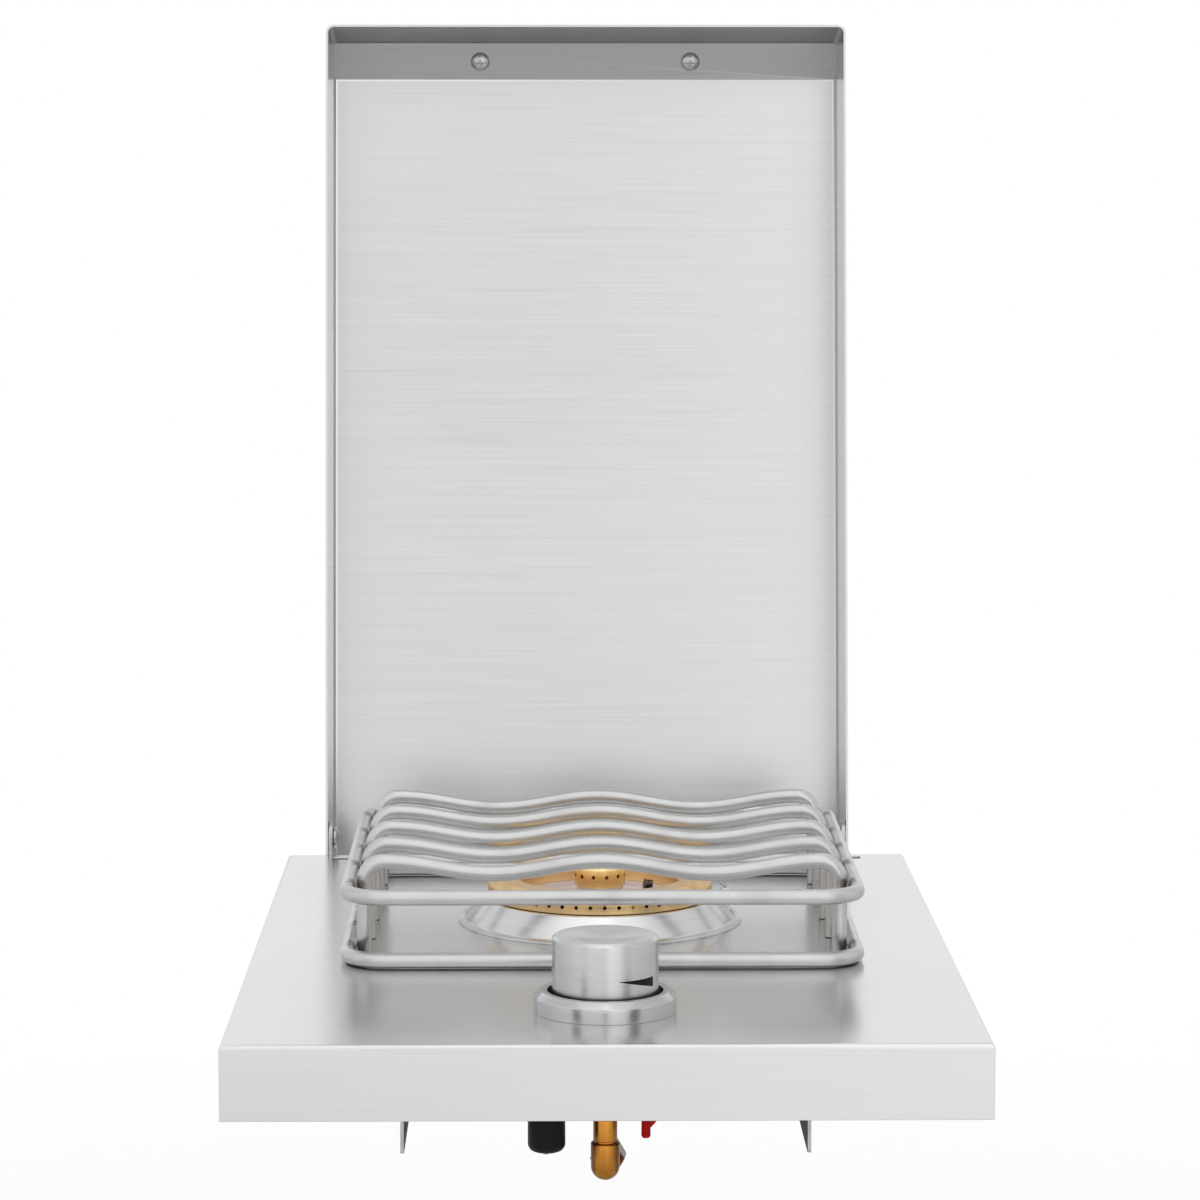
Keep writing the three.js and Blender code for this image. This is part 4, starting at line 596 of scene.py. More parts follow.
def tube_mesh(points, radii, sides, closed=False):
    """A round rod along points in metres, with its open ends domed slightly."""
    count = len(points)
    tangents = []
    for i in range(count):
        before = points[i - 1] if closed or i else points[i]
        after = points[(i + 1) % count] if closed or i < count - 1 else points[i]
        tangents.append((after - before).normalized())
    side = tangents[0].orthogonal().normalized()
    sides_of = [side]
    for i in range(1, count):
        turn = tangents[i - 1].rotation_difference(tangents[i])
        side = (turn @ side).normalized()
        sides_of.append(side)
    rings = list(zip(points, tangents, sides_of, radii))
    if not closed:
        chamfer = radii[0] * 0.18
        dome = ((0, 0.82), (chamfer * 0.3, 0.95), (chamfer, 1))
        place, ahead, across, radius = rings[0]
        rings[:1] = [(place + ahead * back, ahead, across, radius * share) for back, share in dome]
        place, ahead, across, radius = rings[-1]
        rings[-1:] = [(place - ahead * back, ahead, across, radius * share) for back, share in dome[::-1]]
    vertices = []
    faces = []
    for place, tangent, across, radius in rings:
        up = tangent.cross(across)
        for k in range(sides):
            angle = TURN * k / sides
            vertices.append(place + (across * math.cos(angle) + up * math.sin(angle)) * radius)
    total = len(rings)
    for i in range(total if closed else total - 1):
        faces += band(i * sides, (i + 1) % total * sides, sides)
    if not closed:
        faces.append(list(range(sides))[::-1])
        faces.append([(total - 1) * sides + k for k in range(sides)])
    return vertices, faces


def tube(name, points, radius, *place, sides=28, closed=False):
    mesh = tube_mesh(points, [radius * MM] * len(points), sides, closed)
    return piece(name, *mesh, *place, sharp=50)


def soft_line(points):
    """Centripetal Catmull-Rom through the inner points, with straight ends, as the leads run."""
    inner = points[1:-1]
    ends = [inner[0] * 2 - inner[1], *inner, inner[-1] * 2 - inner[-2]]
    line = [points[0]]
    for i in range(1, len(ends) - 2):
        p0, p1, p2, p3 = ends[i - 1:i + 3]
        t1 = (p1 - p0).length ** 0.5
        t2 = t1 + (p2 - p1).length ** 0.5
        t3 = t2 + (p3 - p2).length ** 0.5
        for step in range(14):
            t = t1 + (t2 - t1) * step / 14
            a1 = p0.lerp(p1, t / t1)
            a2 = p1.lerp(p2, (t - t1) / (t2 - t1))
            a3 = p2.lerp(p3, (t - t2) / (t3 - t2))
            b1 = a1.lerp(a2, t / t2)
            b2 = a2.lerp(a3, (t - t1) / (t3 - t1))
            line.append(b1.lerp(b2, (t - t1) / (t2 - t1)))
    line.append(inner[-1])
    line.append(points[-1])
    return line


def bored(name, profile, cutters, *place, sides=144):
    """A turned piece with holes cut through it by closed cutter meshes in millimetres about its axis."""
    holder = []
    blank_shape = lathe_mesh(profile, sides, closed=True)
    for role, shape in (("blank", blank_shape), ("tool", joined(*cutters))):
        mesh = mesh_of(f"{name}_{role}", *placed(shape, BURNER))
        work = bmesh.new()
        work.from_mesh(mesh)
        bmesh.ops.recalc_face_normals(work, faces=work.faces)
        work.to_mesh(mesh)
        work.free()
        holder.append(shown(mesh.name, mesh))
    blank, tool = holder
    cutting = blank.modifiers.new("holes", "BOOLEAN")
    cutting.operation = "DIFFERENCE"
    cutting.solver = "EXACT"
    cutting.object = tool
    result = bpy.data.meshes.new_from_object(blank.evaluated_get(bpy.context.evaluated_depsgraph_get()))
    result.name = name
    for thing in holder:
        bpy.data.objects.remove(thing)
    return finished(name, result, *place)


def drill_bit(radius, inner, outer, height, degrees):
    """A round cutter that points outwards from the axis at one height and bearing."""
    vertices, faces = lathe_mesh([(0, inner), (radius, inner), (radius, outer), (0, outer)], 16)
    spin = turned(degrees, "Z")
    return [spin @ (AXES["X"] @ v + Vector((0, 0, height))) for v in vertices], faces


def upright_bit(radius, low, high, x):
    """A round cutter that stands upright at one distance to the axis's right."""
    vertices, faces = lathe_mesh([(0, low), (radius, low), (radius, high), (0, high)], 32)
    return [v + Vector((x, 0, 0)) for v in vertices], faces


def slot_bit(half, inner, outer, low, high, degrees):
    """A square cutter that reaches outwards from near the axis at one bearing."""
    spin = turned(degrees, "Z")
    corners = [(x, y, z) for x in (inner, outer) for y in (-half, half) for z in (low, high)]
    faces = [[0, 1, 3, 2], [4, 6, 7, 5], [0, 4, 5, 1], [2, 3, 7, 6], [0, 2, 6, 4], [1, 5, 7, 3]]
    return [spin @ Vector(corner) for corner in corners], faces


def hexagon(across):
    """Keeps rings inside a hexagon that has a corner at angle 0."""
    def reach(radius, angle):
        sector = math.pi / 3
        local = angle % sector - sector / 2
        return min(radius, across / 2 / math.cos(local))
    return reach


def cross_recess(radius, arm, width):
    """Inside the given radius the rings follow a cross, so that a screw head gets its drive."""
    def reach(ring, angle):
        if ring > radius:
            return ring
        local = abs((angle + math.pi / 4) % QUARTER - math.pi / 4)
        straight = arm / math.cos(local) if arm * math.tan(local) <= width else width / math.sin(local)
        return straight * ring / radius
    return reach


def cross_screw(name, head, foot, seat, top, arm, slot, centre, node, tip=0.6, turn=AXES["Z"]):
    """A screw from foot to top along an axis, with a cross recess in its domed head."""
    shank = [Vector(p) for p in ((0, foot), (1.6, foot), (2, foot + tip), (2, seat))]
    lathe(name, shank + domed_head(head, seat, top), centre, "fastener_steel", "base", node,
          turn=turn, sides=48, shape=cross_recess(head / 2 + 0.01, arm, slot))


def domed_head(head, low, high):
    """A screw head's profile above its shank, with a hollow half its width in the crown."""
    rise = high - low
    arm = head / 2
    return rounded([
        (head * 0.55, low), (head, low), (head, low + rise * 0.45), (head * 0.8, low + rise * 0.85),
        (arm * 1.2, high),
    ], 0.5) + [(arm, high), (arm * 0.9, high - rise * 0.55), (0, high - rise * 0.62)]


# Carried-over solids

SHARP_EDGE = math.radians(32)


def softened(node, slot_name, edge):
    """Gives a CAD node its finish, welded smooth shading and slightly rounded edges."""
    solid = nodes[node]
    solid.data.materials.clear()
    solid.data.materials.append(looks[slot_name])
    weld = solid.modifiers.new("weld", "NODES")
    weld.node_group = smooth_group
    bevel = solid.modifiers.new("edges", "BEVEL")
    bevel.width = edge * MM
    bevel.segments = 2
    bevel.limit_method = "ANGLE"
    bevel.angle_limit = SHARP_EDGE
    bevel.use_clamp_overlap = True
    solid.modifiers.new("even", "WEIGHTED_NORMAL").weight = 100


def make_smooth_group():
    """Merges doubled corners, drops the normals that came with them and smooths all but the sharp edges."""
    group = bpy.data.node_groups.new("welded_smooth", "GeometryNodeTree")
    for way in ("INPUT", "OUTPUT"):
        group.interface.new_socket("Geometry", in_out=way, socket_type="NodeSocketGeometry")
    g = Graph(group)
    start = g.add("NodeGroupInput").outputs[0]
    merged = g.feed(g.add("GeometryNodeMergeByDistance"), i0=start, Distance=1e-6).outputs[0]
    plain = g.feed(g.add("GeometryNodeRemoveAttribute"), i0=merged, Name="custom_normal").outputs[0]
    sides = g.feed(g.add("GeometryNodeSetShadeSmooth", domain="FACE"), i0=plain).outputs[0]
    shallow = g.math("LESS_THAN", g.add("GeometryNodeInputMeshEdgeAngle").outputs[0], SHARP_EDGE)
    edges = g.add("GeometryNodeSetShadeSmooth", domain="EDGE")
    g.feed(g.add("NodeGroupOutput"), i0=g.feed(edges, i0=sides, Shade_Smooth=shallow).outputs[0])
    return group


smooth_group = make_smooth_group()

# The width of each solid's rounded edges in millimetres, by its look
CARRIED = {
    "deck_steel": {"deck": 0.3},
    "lid_steel": {"lid_shell": 0.3},
    "cast_aluminium": {"burner_pot": 0.4, "burner_plate": 0.3, "burner_hub": 0.3},
    "galvanised_steel": {
        "mixing_tube": 0.2, "air_shutter": 0.2, "spring_washer": 0.1, "electrode_clip": 0.2,
        "hinge_bracket_left": 0.3, "hinge_bracket_right": 0.3,
    },
    "fitting_brass": {"gas_jet": 0.2, "valve_stem": 0.2, "gas_valve": 0.35},
    "black_rubber": {"knob_seal": 0.2, "lid_stop_left": 0.25, "lid_stop_right": 0.25},
    "black_plastic": {"knob_core": 0.2, "trigger_switch": 0.3},
    "bracket_zinc": {"control_bracket": 0.3},
    "battery_can": {"battery": 0.2},
}
for slot_name, edges in CARRIED.items():
    for node, edge in edges.items():
        softened(node, slot_name, edge)


# Grate

def loop_line(z):
    """A square with rounded corners, anticlockwise from its rear right corner."""
    run = LOOP_HALF - CORNER
    arcs = []
    for turn, (x, y) in enumerate(((run, run), (-run, run), (-run, -run), (run, -run))):
        angles = [QUARTER * (turn + step / 12) for step in range(13)]
        arcs.append([at(x + CORNER * math.cos(a), BURNER_Y + y + CORNER * math.sin(a), z) for a in angles])
    points = []
    for arc, following in zip(arcs, arcs[1:] + arcs[:1]):
        points += arc + [arc[-1].lerp(following[0], share) for share in (0.25, 0.5, 0.75)]
    return points


def bar_line(y):
    """A bar with a leg at each end and two waves between them."""
    crest = BAR_CREST
    bend = 9
    flat = LEG_X - bend
    left = [(-LEG_X, z) for z in (LOOP_Z[0] - ROD, 12, 24)]
    for i in range(13):
        angle = QUARTER * i / 12
        left.append((-flat - math.cos(angle) * bend, crest - bend + math.sin(angle) * bend))
    line = list(left)
    for i in range(1, 60):
        share = i / 60
        line.append((-flat + 2 * flat * share, crest - BAR_DIP + BAR_DIP * math.cos(TURN * 2 * share)))
    line.extend((-x, z) for x, z in reversed(left))
    return [at(x, y, z) for x, z in line]


tube("grate_lower_rod", loop_line(LOOP_Z[0]), ROD, "grate_rod", "grate", "grate_lower_loop", closed=True)
tube("grate_upper_rod", loop_line(LOOP_Z[1]), ROD, "grate_rod", "grate", "grate_upper_loop", closed=True)
for i, y in enumerate(BAR_Y):
    tube(f"grate_wave_{i + 1}", bar_line(y), ROD, "grate_rod", "grate", f"grate_bar_{i + 1}")


def weld_beads():
    """Small fused beads where each leg meets the two loops."""
    chance = random.Random(5)
    vertices = []
    faces = []
    across, around = 14, 8
    for y, side, z in itertools.product(BAR_Y, (-1, 1), LOOP_Z):
        middle = at(side * (LEG_X + ROD + 0.1), y, z)
        size = [1.5 + chance.random() * 0.3, 3.1 + chance.random() * 0.6, 2.2 + chance.random() * 0.5]
        start = len(vertices)
        for i in range(1, around):
            tilt = math.pi * i / around
            for k in range(across):
                angle = TURN * k / across
                bulge = 1 + (chance.random() - 0.5) * 0.16
                vertices.append(middle + Vector((
                    math.sin(tilt) * math.cos(angle) * size[0] * bulge,
                    math.cos(tilt) * size[1],
                    math.sin(tilt) * math.sin(angle) * size[2] * bulge,
                )) * MM)
        for i in range(around - 2):
            faces += band(start + i * across, start + (i + 1) * across, across)
        faces.append([start + k for k in range(across)][::-1])
        faces.append([start + (around - 2) * across + k for k in range(across)])
    piece("grate_welds", vertices, faces, "grate_rod", "grate", sharp=70)


weld_beads()


# Burner

PORT = 0.9


def burner_ring():
    outer, inner, base, top = 53, 37, PLATE_TOP, RING_TOP
    wall, bevel = 3.2, 3
    profile = rounded([
        (outer - wall, base), (outer, base, 0.3), (outer, top - bevel, 0.8), (outer - bevel, top, 0.8),
        (inner + bevel, top, 0.8), (inner, top - bevel, 0.8), (inner, base, 0.3), (inner + wall, base),
        (inner + wall, top - wall - bevel / 2), (outer - wall, top - wall - bevel / 2),
    ], 0.2, closed=True)
    ports = 50
    bits = [drill_bit(PORT, outer - wall * 1.5, outer + 2, base + 3.2, (i + 0.75) * 360 / ports)
            for i in range(ports)]
    notch = slot_bit(3, inner - 3, inner + 6.4, base - 2, base + 1.5, 50)
    bored("burner_ring_turned", profile, [*bits, notch], "ring_brass", "ring", "burner_ring")


def burner_cap():
    base, top = CAP_BASE, CAP_TOP
    shoulder = top - 2.2
    spigot = 9 - 0.3
    bore = spigot - 1.6
    profile = rounded([
        (bore, base - 5), (spigot, base - 5, 0.3), (spigot, base, 0.2), (12, base, 0.4), (12, shoulder, 0.9),
        (10.5, top, 0.9), (0, top),
    ], 0.3) + [Vector((0, shoulder)), Vector((bore, shoulder))]
    bits = [drill_bit(PORT, bore - 1, 14, base + 5.3, (i + 0.5) * 30) for i in range(12)]
    bored("burner_cap_turned", profile, bits, "cap_brass", "cap", "burner_cap", sides=96)


burner_ring()
burner_cap()

COLLAR = 67
MOUTH = 51.6
RIM = COLLAR - 3
SHEET = 0.9
RISE = 10.8
bored("drip_collar_spun", rounded([
    (COLLAR, 0, 0.15), (COLLAR, SHEET, 0.35), (RIM, SHEET * 2, 2.0), (MOUTH + 3, RISE + SHEET, 2.0),
    (MOUTH, RISE + SHEET, 0.3), (MOUTH, RISE, 0.3), (MOUTH + 3, RISE, 1.5), (RIM, SHEET, 1.5),
    (RIM + 1.5, 0, 0.2),
], 0.3, steps=5, closed=True), [upright_bit(3.2, -2, 20, ELECTRODE_X)],
    "collar_steel", "collar", "drip_collar", sides=160)

SCREW_RADIUS = (49 + 55.5) / 2
for i, side in enumerate((1, -1)):
    cross_screw(f"burner_screw_turned_{i + 1}", 3.1, -6.2, 1.5, 3.5, 1.5, 0.4,
                at(0, BURNER_Y + side * SCREW_RADIUS, 0), f"burner_screw_{i + 1}")


# Knob, bezel, stem spring

KNOB_RADIUS = 22.7
KNOB_FOOT = 8.6
lathe("knob_shell_turned", rounded([
    (0, 31.3), (8.5, 31.6, 4), (17, 32.5, 0.5), (21.3, 32.5, 0.35), (KNOB_RADIUS, 31.1, 0.5),
    (KNOB_RADIUS, KNOB_FOOT, 0.25), (21.4, KNOB_FOOT, 0.25), (21.4, 29.7, 0.6), (0, 29.7),
], 0.4, steps=4), KNOB, "knob_steel", "knob", "knob_shell", sides=128)

lathe("knob_bezel_turned", rounded([
    (5.9, 0), (30.5, 0, 0.2), (30.5, 6.4, 0.5), (27.5, 9, 0.5), (24.7, 9, 0.3), (24.7, 3, 0.6),
    (5.9, 3, 0.2),
], 0.3, steps=4, closed=True), KNOB, "bezel_steel", "base", "knob_bezel", sides=128, closed=True)


def knob_pointer():
    """A black wedge on the knob's side, from a fine tip in front to a wide tail at the right."""
    tip, tail = 13.5, 61.4
    tip_height, tail_height = 7.9, 6.0
    vertices = []
    faces = []
    steps = 24
    for i in range(steps + 1):
        share = i / steps
        bearing = math.radians(-90 + tip + (tail - tip) * share)
        middle = KNOB_FOOT + tip_height + (tail_height - tip_height) * share
        half = 2.1 * share + 0.03
        for lift, rise in ((0.06, -half), (-0.2, -half), (-0.2, half), (0.06, half)):
            reach = KNOB_RADIUS + lift
            vertices.append(at(math.cos(bearing) * reach, KNOB_Y + math.sin(bearing) * reach, middle + rise))
    for i in range(0, steps * 4, 4):
        faces += band(i, i + 4, 4)
    faces += [[3, 2, 1, 0], [steps * 4 + k for k in range(4)]]
    piece("knob_pointer", vertices, faces, "black_plastic", "knob")


knob_pointer()


def coil_like(name, node, x, y, radius, wire, turns, body):
    """An upright coil spring as high as the node that it stands for."""
    low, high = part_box(node)
    foot = low.z / MM - SKIRT + wire / 2
    head = high.z / MM - SKIRT - wire / 2
    steps = int(turns * 28)
    line = []
    for i in range(steps + 1):
        angle = TURN * turns * i / steps
        height = foot + (head - foot) * i / steps
        line.append(at(x + math.cos(angle) * radius, y + math.sin(angle) * radius, height))
    return tube(name, line, wire / 2, "spring_steel", body, node, sides=14)


stem_coil = coil_like("stem_spring_coil", "stem_spring", 0, KNOB_Y, 4.4, 1.1, 5, "base")
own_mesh(stem_coil)
coil_like("battery_spring_coil", "battery_spring", IGNITER_X, CONTROL_Y, 5.25 / 2, 0.7, 2.5, "battery_cap")


# Valve screws, elbow and nut

SET_BACK = 11 + 3.8 - 3
for i, side in enumerate((-1, 1)):
    cross_screw(f"valve_screw_turned_{i + 1}", 3.8, -30.5, -24, -21.6, 1.8, 0.5,
                at(side * 15, KNOB_Y + SET_BACK, 0), f"valve_screw_{i + 1}", tip=0.5)

ALONG_BRANCH = turned(-5, "Z") @ AXES["Y"]
ELBOW_TOP = -47
NIPPLE = 5.15
BODY = 6.2
BODY_TOP = ELBOW_TOP - 10.3
BRANCH_Z = BODY_TOP - 16.5 + BODY
BRANCH = 4.5
BRANCH_END = 20


def threads(radius, low, high, pitch, depth):
    """Rings that rise and fall like a thread, for a lathe profile."""
    count = int((high - low) / pitch)
    points = []
    for i in range(count):
        start = low + (high - low) * i / count
        points += [(radius - depth, start), (radius, start + (high - low) / count / 2)]
    return [*points, (radius - depth, high)]


def inlet_elbow():
    dome = [(math.sin(angle) * BODY, BRANCH_Z - math.cos(angle) * BODY, 0)
            for angle in (QUARTER * i / 12 for i in range(12))]
    upright = lathe_mesh(rounded([
        *dome, (BODY, BODY_TOP, 0.7), (NIPPLE - 0.55, BODY_TOP, 0.2), (NIPPLE - 0.55, BODY_TOP + 0.7, 0.1),
        (NIPPLE, BODY_TOP + 0.9, 0.3), (NIPPLE, ELBOW_TOP, 0.3), (0, ELBOW_TOP),
    ], 0.4, steps=4), 64)
    branch = lathe_mesh([
        (0, 0), (BRANCH, 0), (BRANCH, 9), *threads(BRANCH, 9.2, 19.4, 1.3, 0.45), (BRANCH - 0.7, BRANCH_END),
        (2.6, BRANCH_END), (2.6, 12), (0, 12),
    ], 48)
    mesh = joined(placed(upright, KNOB), placed(branch, at(0, KNOB_Y, BRANCH_Z), ALONG_BRANCH))
    elbow = piece("inlet_elbow_turned", *mesh, "fitting_brass", "base", "inlet_elbow")
    elbow.data.materials[0] = looks["inlet_brass"]


inlet_elbow()

NUT_END = BRANCH_END + 3.2
NUT_ACROSS = 13
corner = NUT_ACROSS / 2 / math.cos(math.pi / 6)
bore = BRANCH + 0.4
mouth = BRANCH - 0.8
flare_nut = lathe("flare_nut_turned", [
    (bore, NUT_END - 13), (6.3, NUT_END - 13), (corner - 0.35, NUT_END - 12), (corner, NUT_END - 11.6),
    (corner, NUT_END - 1.4), (corner - 0.35, NUT_END - 1), (6.2, NUT_END), (mouth, NUT_END),
    (mouth, NUT_END - 1.6), (bore, NUT_END - 1.6),
], at(0, KNOB_Y, BRANCH_Z), "fitting_brass", "nut", "flare_nut", turn=ALONG_BRANCH,
    sides=96, closed=True, shape=hexagon(NUT_ACROSS), sharp=25)
flare_nut.data.materials[0] = looks["inlet_brass"]


# Igniter, switch boot, leads, electrode

lathe("igniter_housing_moulded", rounded([
    (0, -6), (6.5, -6, 1.2), (8, -7.5, 1.0), (8, -22, 0.2), (11, -22, 0.4), (11, -24, 0.4), (8, -24, 0.2),
    (8, -45, 0.3), (5.7, -45, 0.2), (5.7, -9, 0.3), (0, -9),
], 0.4, steps=4), IGNITER, "black_plastic", "base", "igniter_housing", sides=80)


# The sleeve on the housing's rear that the spark lead comes out of
LEAD_Z = -15
start = 70.75
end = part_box("igniter_housing")[1].y / MM + FRONT_OVERHANG
lathe("igniter_socket", rounded([
    (1.55, start), (2.5, start, 0.2), (2.5, end, 0.5), (1.55, end, 0.2),
], 0.2, closed=True), at(IGNITER_X, 0, LEAD_Z), "black_plastic", "base",
    turn=AXES["Y"], sides=40, closed=True)

lathe("igniter_cap_moulded", rounded([
    (0, -61.8), (0.9, -61.75, 0.5), (1.9, -60.9, 0.6), (4.6, -60.6, 3), (7, -59.7, 2.5), (8, -57.8, 2.5),
    (8, -45.3, 0.4), (5.4, -45.3, 0.2), (5.4, -58.8, 0.4), (0, -58.8),
], 0.4, steps=5), IGNITER, "black_plastic", "battery_cap", "igniter_cap", sides=80)

PLATE_UNDERSIDE = -25.5
SWITCH_X = 17.3
SWITCH_FOOT = PLATE_UNDERSIDE - 10
BOOT_FOOT = SWITCH_FOOT - 19.3


def nozzle_point(distance):
    """A point along the boot's side outlet, at a distance in millimetres from the boot's axis."""
    aslant = distance / math.sqrt(2)
    return (SWITCH_X + aslant, CONTROL_Y, BOOT_FOOT + 5 + aslant)


def terminal_boot():
    sleeve = lathe_mesh(rounded([
        (0, BOOT_FOOT), (1.5, BOOT_FOOT, 0.6), (2, BOOT_FOOT + 1, 0.8), (1.85, SWITCH_FOOT - 6, 2),
        (2, SWITCH_FOOT - 0.3, 0.3), (0, SWITCH_FOOT - 0.3),
    ], 0.3, steps=4), 32)
    outlet = lathe_mesh(rounded([
        (0, 0), (1.9, 0), (1.85, 3, 1), (1.7, 4.6, 0.2), (1.4, 4.6, 0.1), (1.4, 3.4), (0, 3.4),
    ], 0.2), 32)
    mesh = joined(placed(sleeve, at(SWITCH_X, CONTROL_Y, 0)),
                  placed(outlet, at(*nozzle_point(0)), turned(45, "Y")))
    piece("terminal_boot_moulded", *mesh, "red_sleeve", "base", "terminal_boot")


terminal_boot()

LEAD_RADIUS = 1.25
HOUSING_REAR = 72.3
TRIGGER_Z = PLATE_UNDERSIDE - 6
spark_route = (
    (IGNITER_X, HOUSING_REAR, LEAD_Z), (IGNITER_X, HOUSING_REAR + 20, LEAD_Z), (-22, 125, LEAD_Z - 1),
    (6, 152, LEAD_Z - 2), (40, 180, LEAD_Z - 1), (58, 215, LEAD_Z - 4), (ELECTRODE_X, 240, LEAD_Z - 14),
    (ELECTRODE_X, 256, LEAD_Z - 19), (ELECTRODE_X, 265, LEAD_Z - 16), (ELECTRODE_X, BURNER_Y, LEAD_Z - 8),
    (ELECTRODE_X, BURNER_Y, LEAD_Z - 3.3))
trigger_route = (
    nozzle_point(2.6), nozzle_point(4.9), (25.3, 66, BOOT_FOOT + 12.5), (27.3, 76, BOOT_FOOT + 18),
    (24.3, 92, BOOT_FOOT + 22), (4, 98, TRIGGER_Z), (-18, 94, TRIGGER_Z + 1), (IGNITER_X, 80, TRIGGER_Z),
    (IGNITER_X, HOUSING_REAR, TRIGGER_Z))
for name, route in (("spark_lead", spark_route), ("trigger_lead", trigger_route)):
    line = soft_line([at(*p) for p in route])
    tube(f"{name}_jacket", line, LEAD_RADIUS, "lead_jacket", "base", name, sides=16)

lathe("electrode_ceramic_glazed", rounded([
    (0, -18), (2.5, -18, 0.4), (2.5, -5.4, 0.2), (3.6, -5.4, 0.5), (3.6, -2.4, 0.5), (2.5, -2.4, 0.2),
    (2.5, 15, 0.6), (0.85, 15, 0.1), (0.85, 12), (0, 12),
], 0.3), at(ELECTRODE_X, BURNER_Y, 0), "ceramic", "base", "electrode_ceramic", sides=40)


def electrode_tip():
    bend = ((0, 12.1), (0, 15.2), (0, 15.65), (0.3, 16.05), (0.8, 16.35), (1.7, 17.0), (2.6, 17.6))
    route = [at(ELECTRODE_X - inward, BURNER_Y, z) for inward, z in bend]
    radii = [r * MM for r in (0.75, 0.75, 0.75, 0.75, 0.74, 0.66, 0.5)]
    piece("electrode_tip_wire", *tube_mesh(route, radii, 16), "spring_steel", "base", "electrode_tip",
          sharp=50)


electrode_tip()


# Hinges

PIN_Y = 452
PIN_Z = 7
for side, name in ((-1, "left"), (1, "right")):
    low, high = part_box(f"hinge_pin_{name}")
    tip = (low.x if side < 0 else high.x) / MM
    head = (high.x if side < 0 else low.x) / MM
    seat = head + side * 2.6
    profile = rounded([
        (0, head), (2.8, head, 1.2), (5.5, head + side * 1.3, 0.9), (5.5, seat, 0.3), (3, seat, 0.1),
        (3, tip, 0.5), (0, tip),
    ], 0.4, steps=4)
    lathe(f"hinge_pin_turned_{name}", profile, at(0, PIN_Y, PIN_Z), "fastener_steel", "base",
          f"hinge_pin_{name}", turn=AXES["X"], sides=48)
    low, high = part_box(f"hinge_screw_{name}")
    end = high.y / MM
    cross_screw(f"hinge_screw_turned_{name}", 3.6, low.y / MM, end - 2.2, end, 1.7, 0.45,
                Vector(((low.x + high.x) / 2, 0, (low.z + high.z) / 2)), f"hinge_screw_{name}",
                turn=AXES["Y"])


# Lid handle, in the frame of the lid's front bevel

POST_X = 56
SLOPE = math.atan2(9, 20)
lid_turn = turned(-98, "X")
grip_turn = lid_turn @ Matrix.Rotation(SLOPE, 3, "X")
LID_MIDDLE = -4.5
LID_REACH = 422.3
EDGE_UNDER_PIN = 6.5
BEVEL_MIDDLE = (10, 52 + 4.5)
GRIP = at(LID_MIDDLE, PIN_Y, PIN_Z) + lid_turn @ Vector(
    (0, BEVEL_MIDDLE[0] - LID_REACH, BEVEL_MIDDLE[1] - EDGE_UNDER_PIN)) * MM


def on_grip(x, y, z):
    return GRIP + grip_turn @ Vector((x, y, z)) * MM


lathe("lid_handle_turned", rounded([
    (0, -80), (6, -80, 1), (8, -78, 1.5), (8, 78, 1.5), (6, 80, 1), (0, 80),
], 0.4, steps=4), on_grip(0, 0, 30), "handle_steel", "lid", "lid_handle_bar",
    turn=grip_turn @ AXES["X"], sides=80)
for side, name in ((-1, "left"), (1, "right")):
    lathe(f"handle_post_turned_{name}", rounded([
        (0, 0.3), (8, 0.3, 0.3), (8, 1.8, 0.6), (5.6, 3.0, 1.0), (5, 4.2, 1.0), (5, 26, 0.2), (0, 26),
    ], 0.4, steps=4), on_grip(side * POST_X, 0, 0), "handle_steel", "lid", f"handle_post_{name}",
        turn=grip_turn, sides=56)
    lathe(f"handle_screw_turned_{name}", rounded([
        (0, 14), (2.2, 14, 0.4), (2.2, -1.5, 0.1), (5, -1.5, 0.3), (5, -2, 0.5), (4.3, -3.1, 1.5),
        (2.6, -4.1, 1.5),
    ], 0.4) + [(1.7, -4.3), (1.55, -2.8), (0, -2.6)], on_grip(side * POST_X, 0, 0), "fastener_steel", "lid",
        f"handle_screw_{name}", turn=grip_turn, sides=48, shape=cross_recess(1.75, 1.7, 0.45))


# Floor, light and camera

def pale_floor():
    """A pale floor that fades out round the part; the camera sees less than half of it over the white."""
    reach = 2.6
    corners = [(-reach, -reach, 0), (reach, -reach, 0), (reach, reach, 0), (-reach, reach, 0)]
    mesh = mesh_of("floor", corners, [[0, 1, 2, 3]])
    floor = shown("floor", mesh)
    floor.location = (0, 0.45, -0.34)
    f = Finish("pale_floor")
    grain = f.noise(60.0, detail=3)
    length = f.add("ShaderNodeVectorMath", operation="LENGTH")
    away = f.feed(length, i0=f.stretched((0.62, 0.85, 0))).outputs["Value"]
    seen = f.ramp(f.camera_ray(), 0.0, 1.0, 1.0, 0.45)
    f.surface(Base_Color=f.blend(f.ramp(grain, 0.3, 0.7), (0.93, 0.93, 0.93), (0.96, 0.96, 0.96)),
              Roughness=0.9, Alpha=f.times(seen, f.ramp(away, 0.45, 1.0, 1.0, 0.0)))
    mesh.materials.append(f.material)


# Brightness by the height of the direction, from straight down (-1) to straight up (1)
HEIGHT_LEVELS = (
    (-1, 0.28), (-0.54, 0.28), (-0.42, 0.55), (-0.29, 0.83), (-0.1, 0.89), (0.05, 1.0), (0.3, 1.05),
    (0.6, 1.02), (1, 1.0),
)

# Brightness by bearing in degrees, from the front (0) to the right (90) and round to the rear
BEARING_LEVELS = (
    (-180, 0.84), (-158, 0.84), (-135, 0.68), (-110, 0.72), (-80, 0.84), (-50, 0.95), (-14, 0.98),
    (-3, 0.99), (3, 1.08), (12, 1.20), (28, 1.08), (44, 0.84), (80, 0.76), (110, 0.68), (135, 0.62),
    (158, 0.84), (180, 0.84),
)

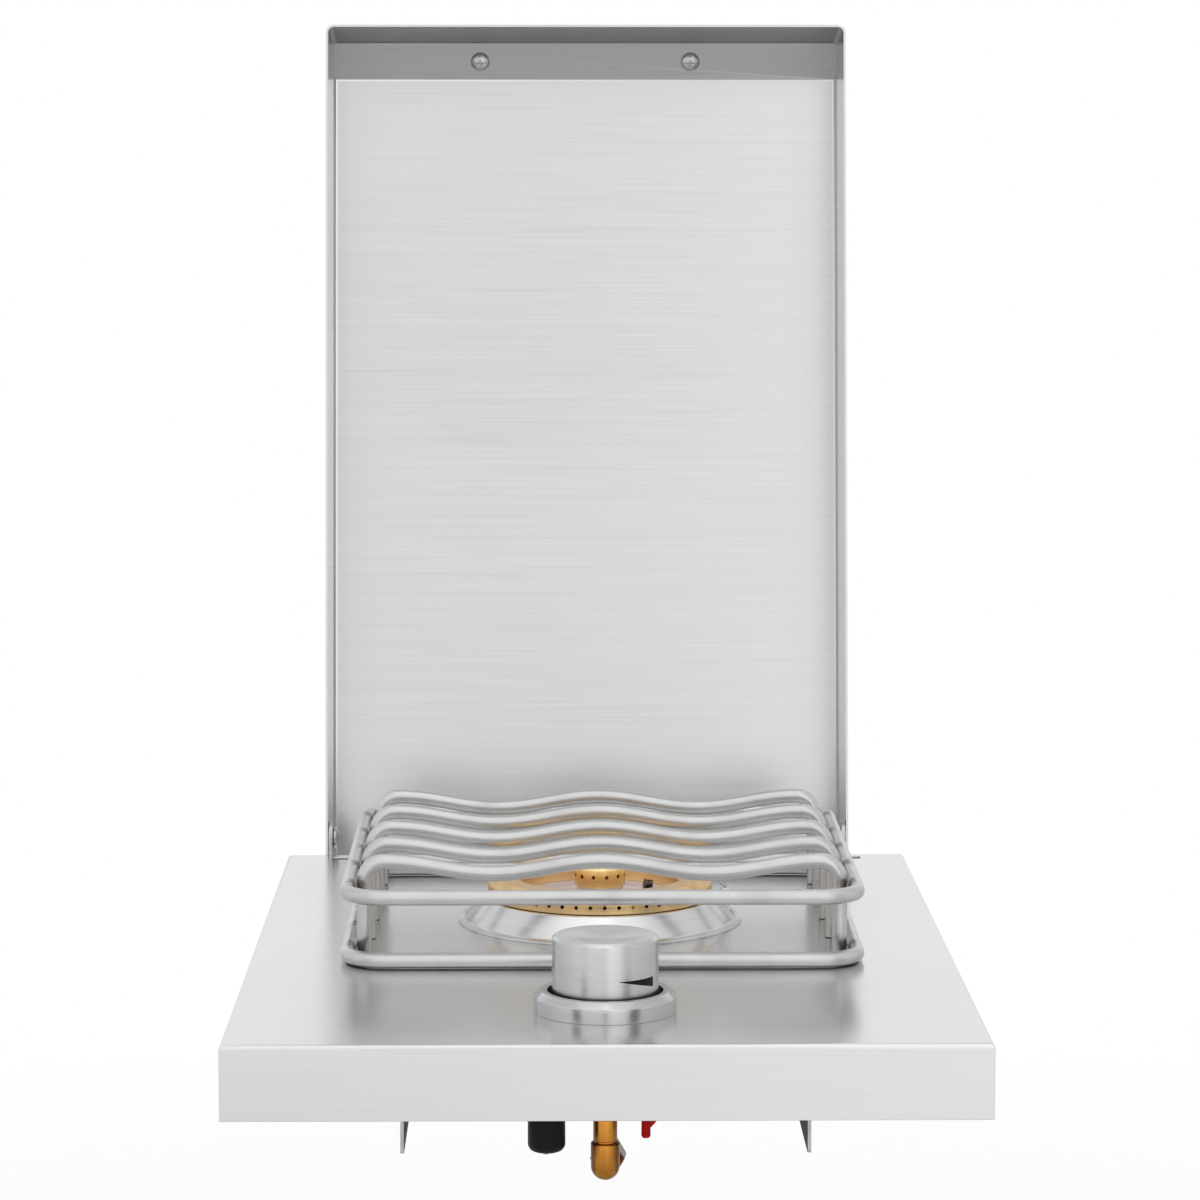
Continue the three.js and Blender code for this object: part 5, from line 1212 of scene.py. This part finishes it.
# Two lamp stands and the camera's column, which only darken directions above the deck
STAND_LEVELS = (
    (-180, 1.0), (-57, 1.0), (-51, 0.3), (-43, 0.3), (-37, 1.0), (-5, 1.0), (-2, 0.6), (2, 0.6), (5, 1.0),
    (35, 1.0), (42, 0.2), (52, 0.2), (60, 1.0), (180, 1.0),
)
STAND_FADE = (
    (-1, 0.0), (0.03, 0.0), (0.09, 1.0), (0.3, 1.0), (0.45, 0.25), (0.7, 0.2), (0.85, 0.0), (1, 0.0),
)


def studio_world():
    """A white studio with two dark lamp stands, dimmer low down; the camera itself sees plain white."""
    world = bpy.data.worlds.new("studio")
    bpy.context.scene.world = world
    world.use_nodes = True
    g = Graph(world.node_tree)

    def levels(value, least, stops):
        """A grey for a value that runs from least to -least."""
        ramp = g.feed(g.add("ShaderNodeValToRGB"), Fac=g.ramp(value, least, -least))
        elements = ramp.color_ramp.elements
        first, *inner, last = stops
        elements[0].color = (*[first[1]] * 3, 1)
        elements[1].color = (*[last[1]] * 3, 1)
        for place, level in inner:
            elements.new((place - least) / (-2 * least)).color = (*[level] * 3, 1)
        return ramp.outputs[0]

    x, y, z = g.parts(g.add("ShaderNodeTexCoord").outputs["Generated"])
    bearing = g.times(g.math("ARCTAN2", x, g.times(y, -1)), 180 / math.pi)
    soft = g.blend(1.0, levels(z, -1, HEIGHT_LEVELS), levels(bearing, -180, BEARING_LEVELS), "MULTIPLY")
    stands = g.blend(levels(z, -1, STAND_FADE), soft, levels(bearing, -180, STAND_LEVELS), "MULTIPLY")
    studio = g.feed(g.add("ShaderNodeBackground"), Color=stands, Strength=1.15).outputs[0]
    white = g.feed(g.add("ShaderNodeBackground"), Color=(1, 1, 1, 1), Strength=1.0).outputs[0]
    seen = g.feed(g.add("ShaderNodeMixShader"), i0=g.camera_ray(), i1=studio, i2=white).outputs[0]
    g.feed(g.add("ShaderNodeOutputWorld"), Surface=seen)


def top_softbox():
    """A weak lamp overhead that looks down at the middle of the deck."""
    data = bpy.data.lights.new("top_softbox", "AREA")
    data.shape = "RECTANGLE"
    data.size, data.size_y = 1.6, 1.2
    data.energy = 1.2
    lamp = shown("top_softbox", data)
    lamp.location = (0.0, 0.1, 1.9)
    lamp.rotation_euler = (Vector((0, 0.25, 0)) - lamp.location).to_track_quat("-Z", "Y").to_euler()


# The photograph's camera: how far it looks down and to the right, in degrees
CAMERA_DIP = 6.559
CAMERA_TURN = 0.656


def camera():
    data = bpy.data.cameras.new("camera")
    data.lens = 121.5
    data.sensor_width = 36
    thing = shown("camera", data)
    thing.location = (-0.021565, -1.628004, 0.401207)
    thing.rotation_euler = (math.radians(90 - CAMERA_DIP), 0, -math.radians(CAMERA_TURN))
    bpy.context.scene.camera = thing


pale_floor()
studio_world()
top_softbox()
camera()
bpy.context.scene.view_settings.view_transform = "Standard"
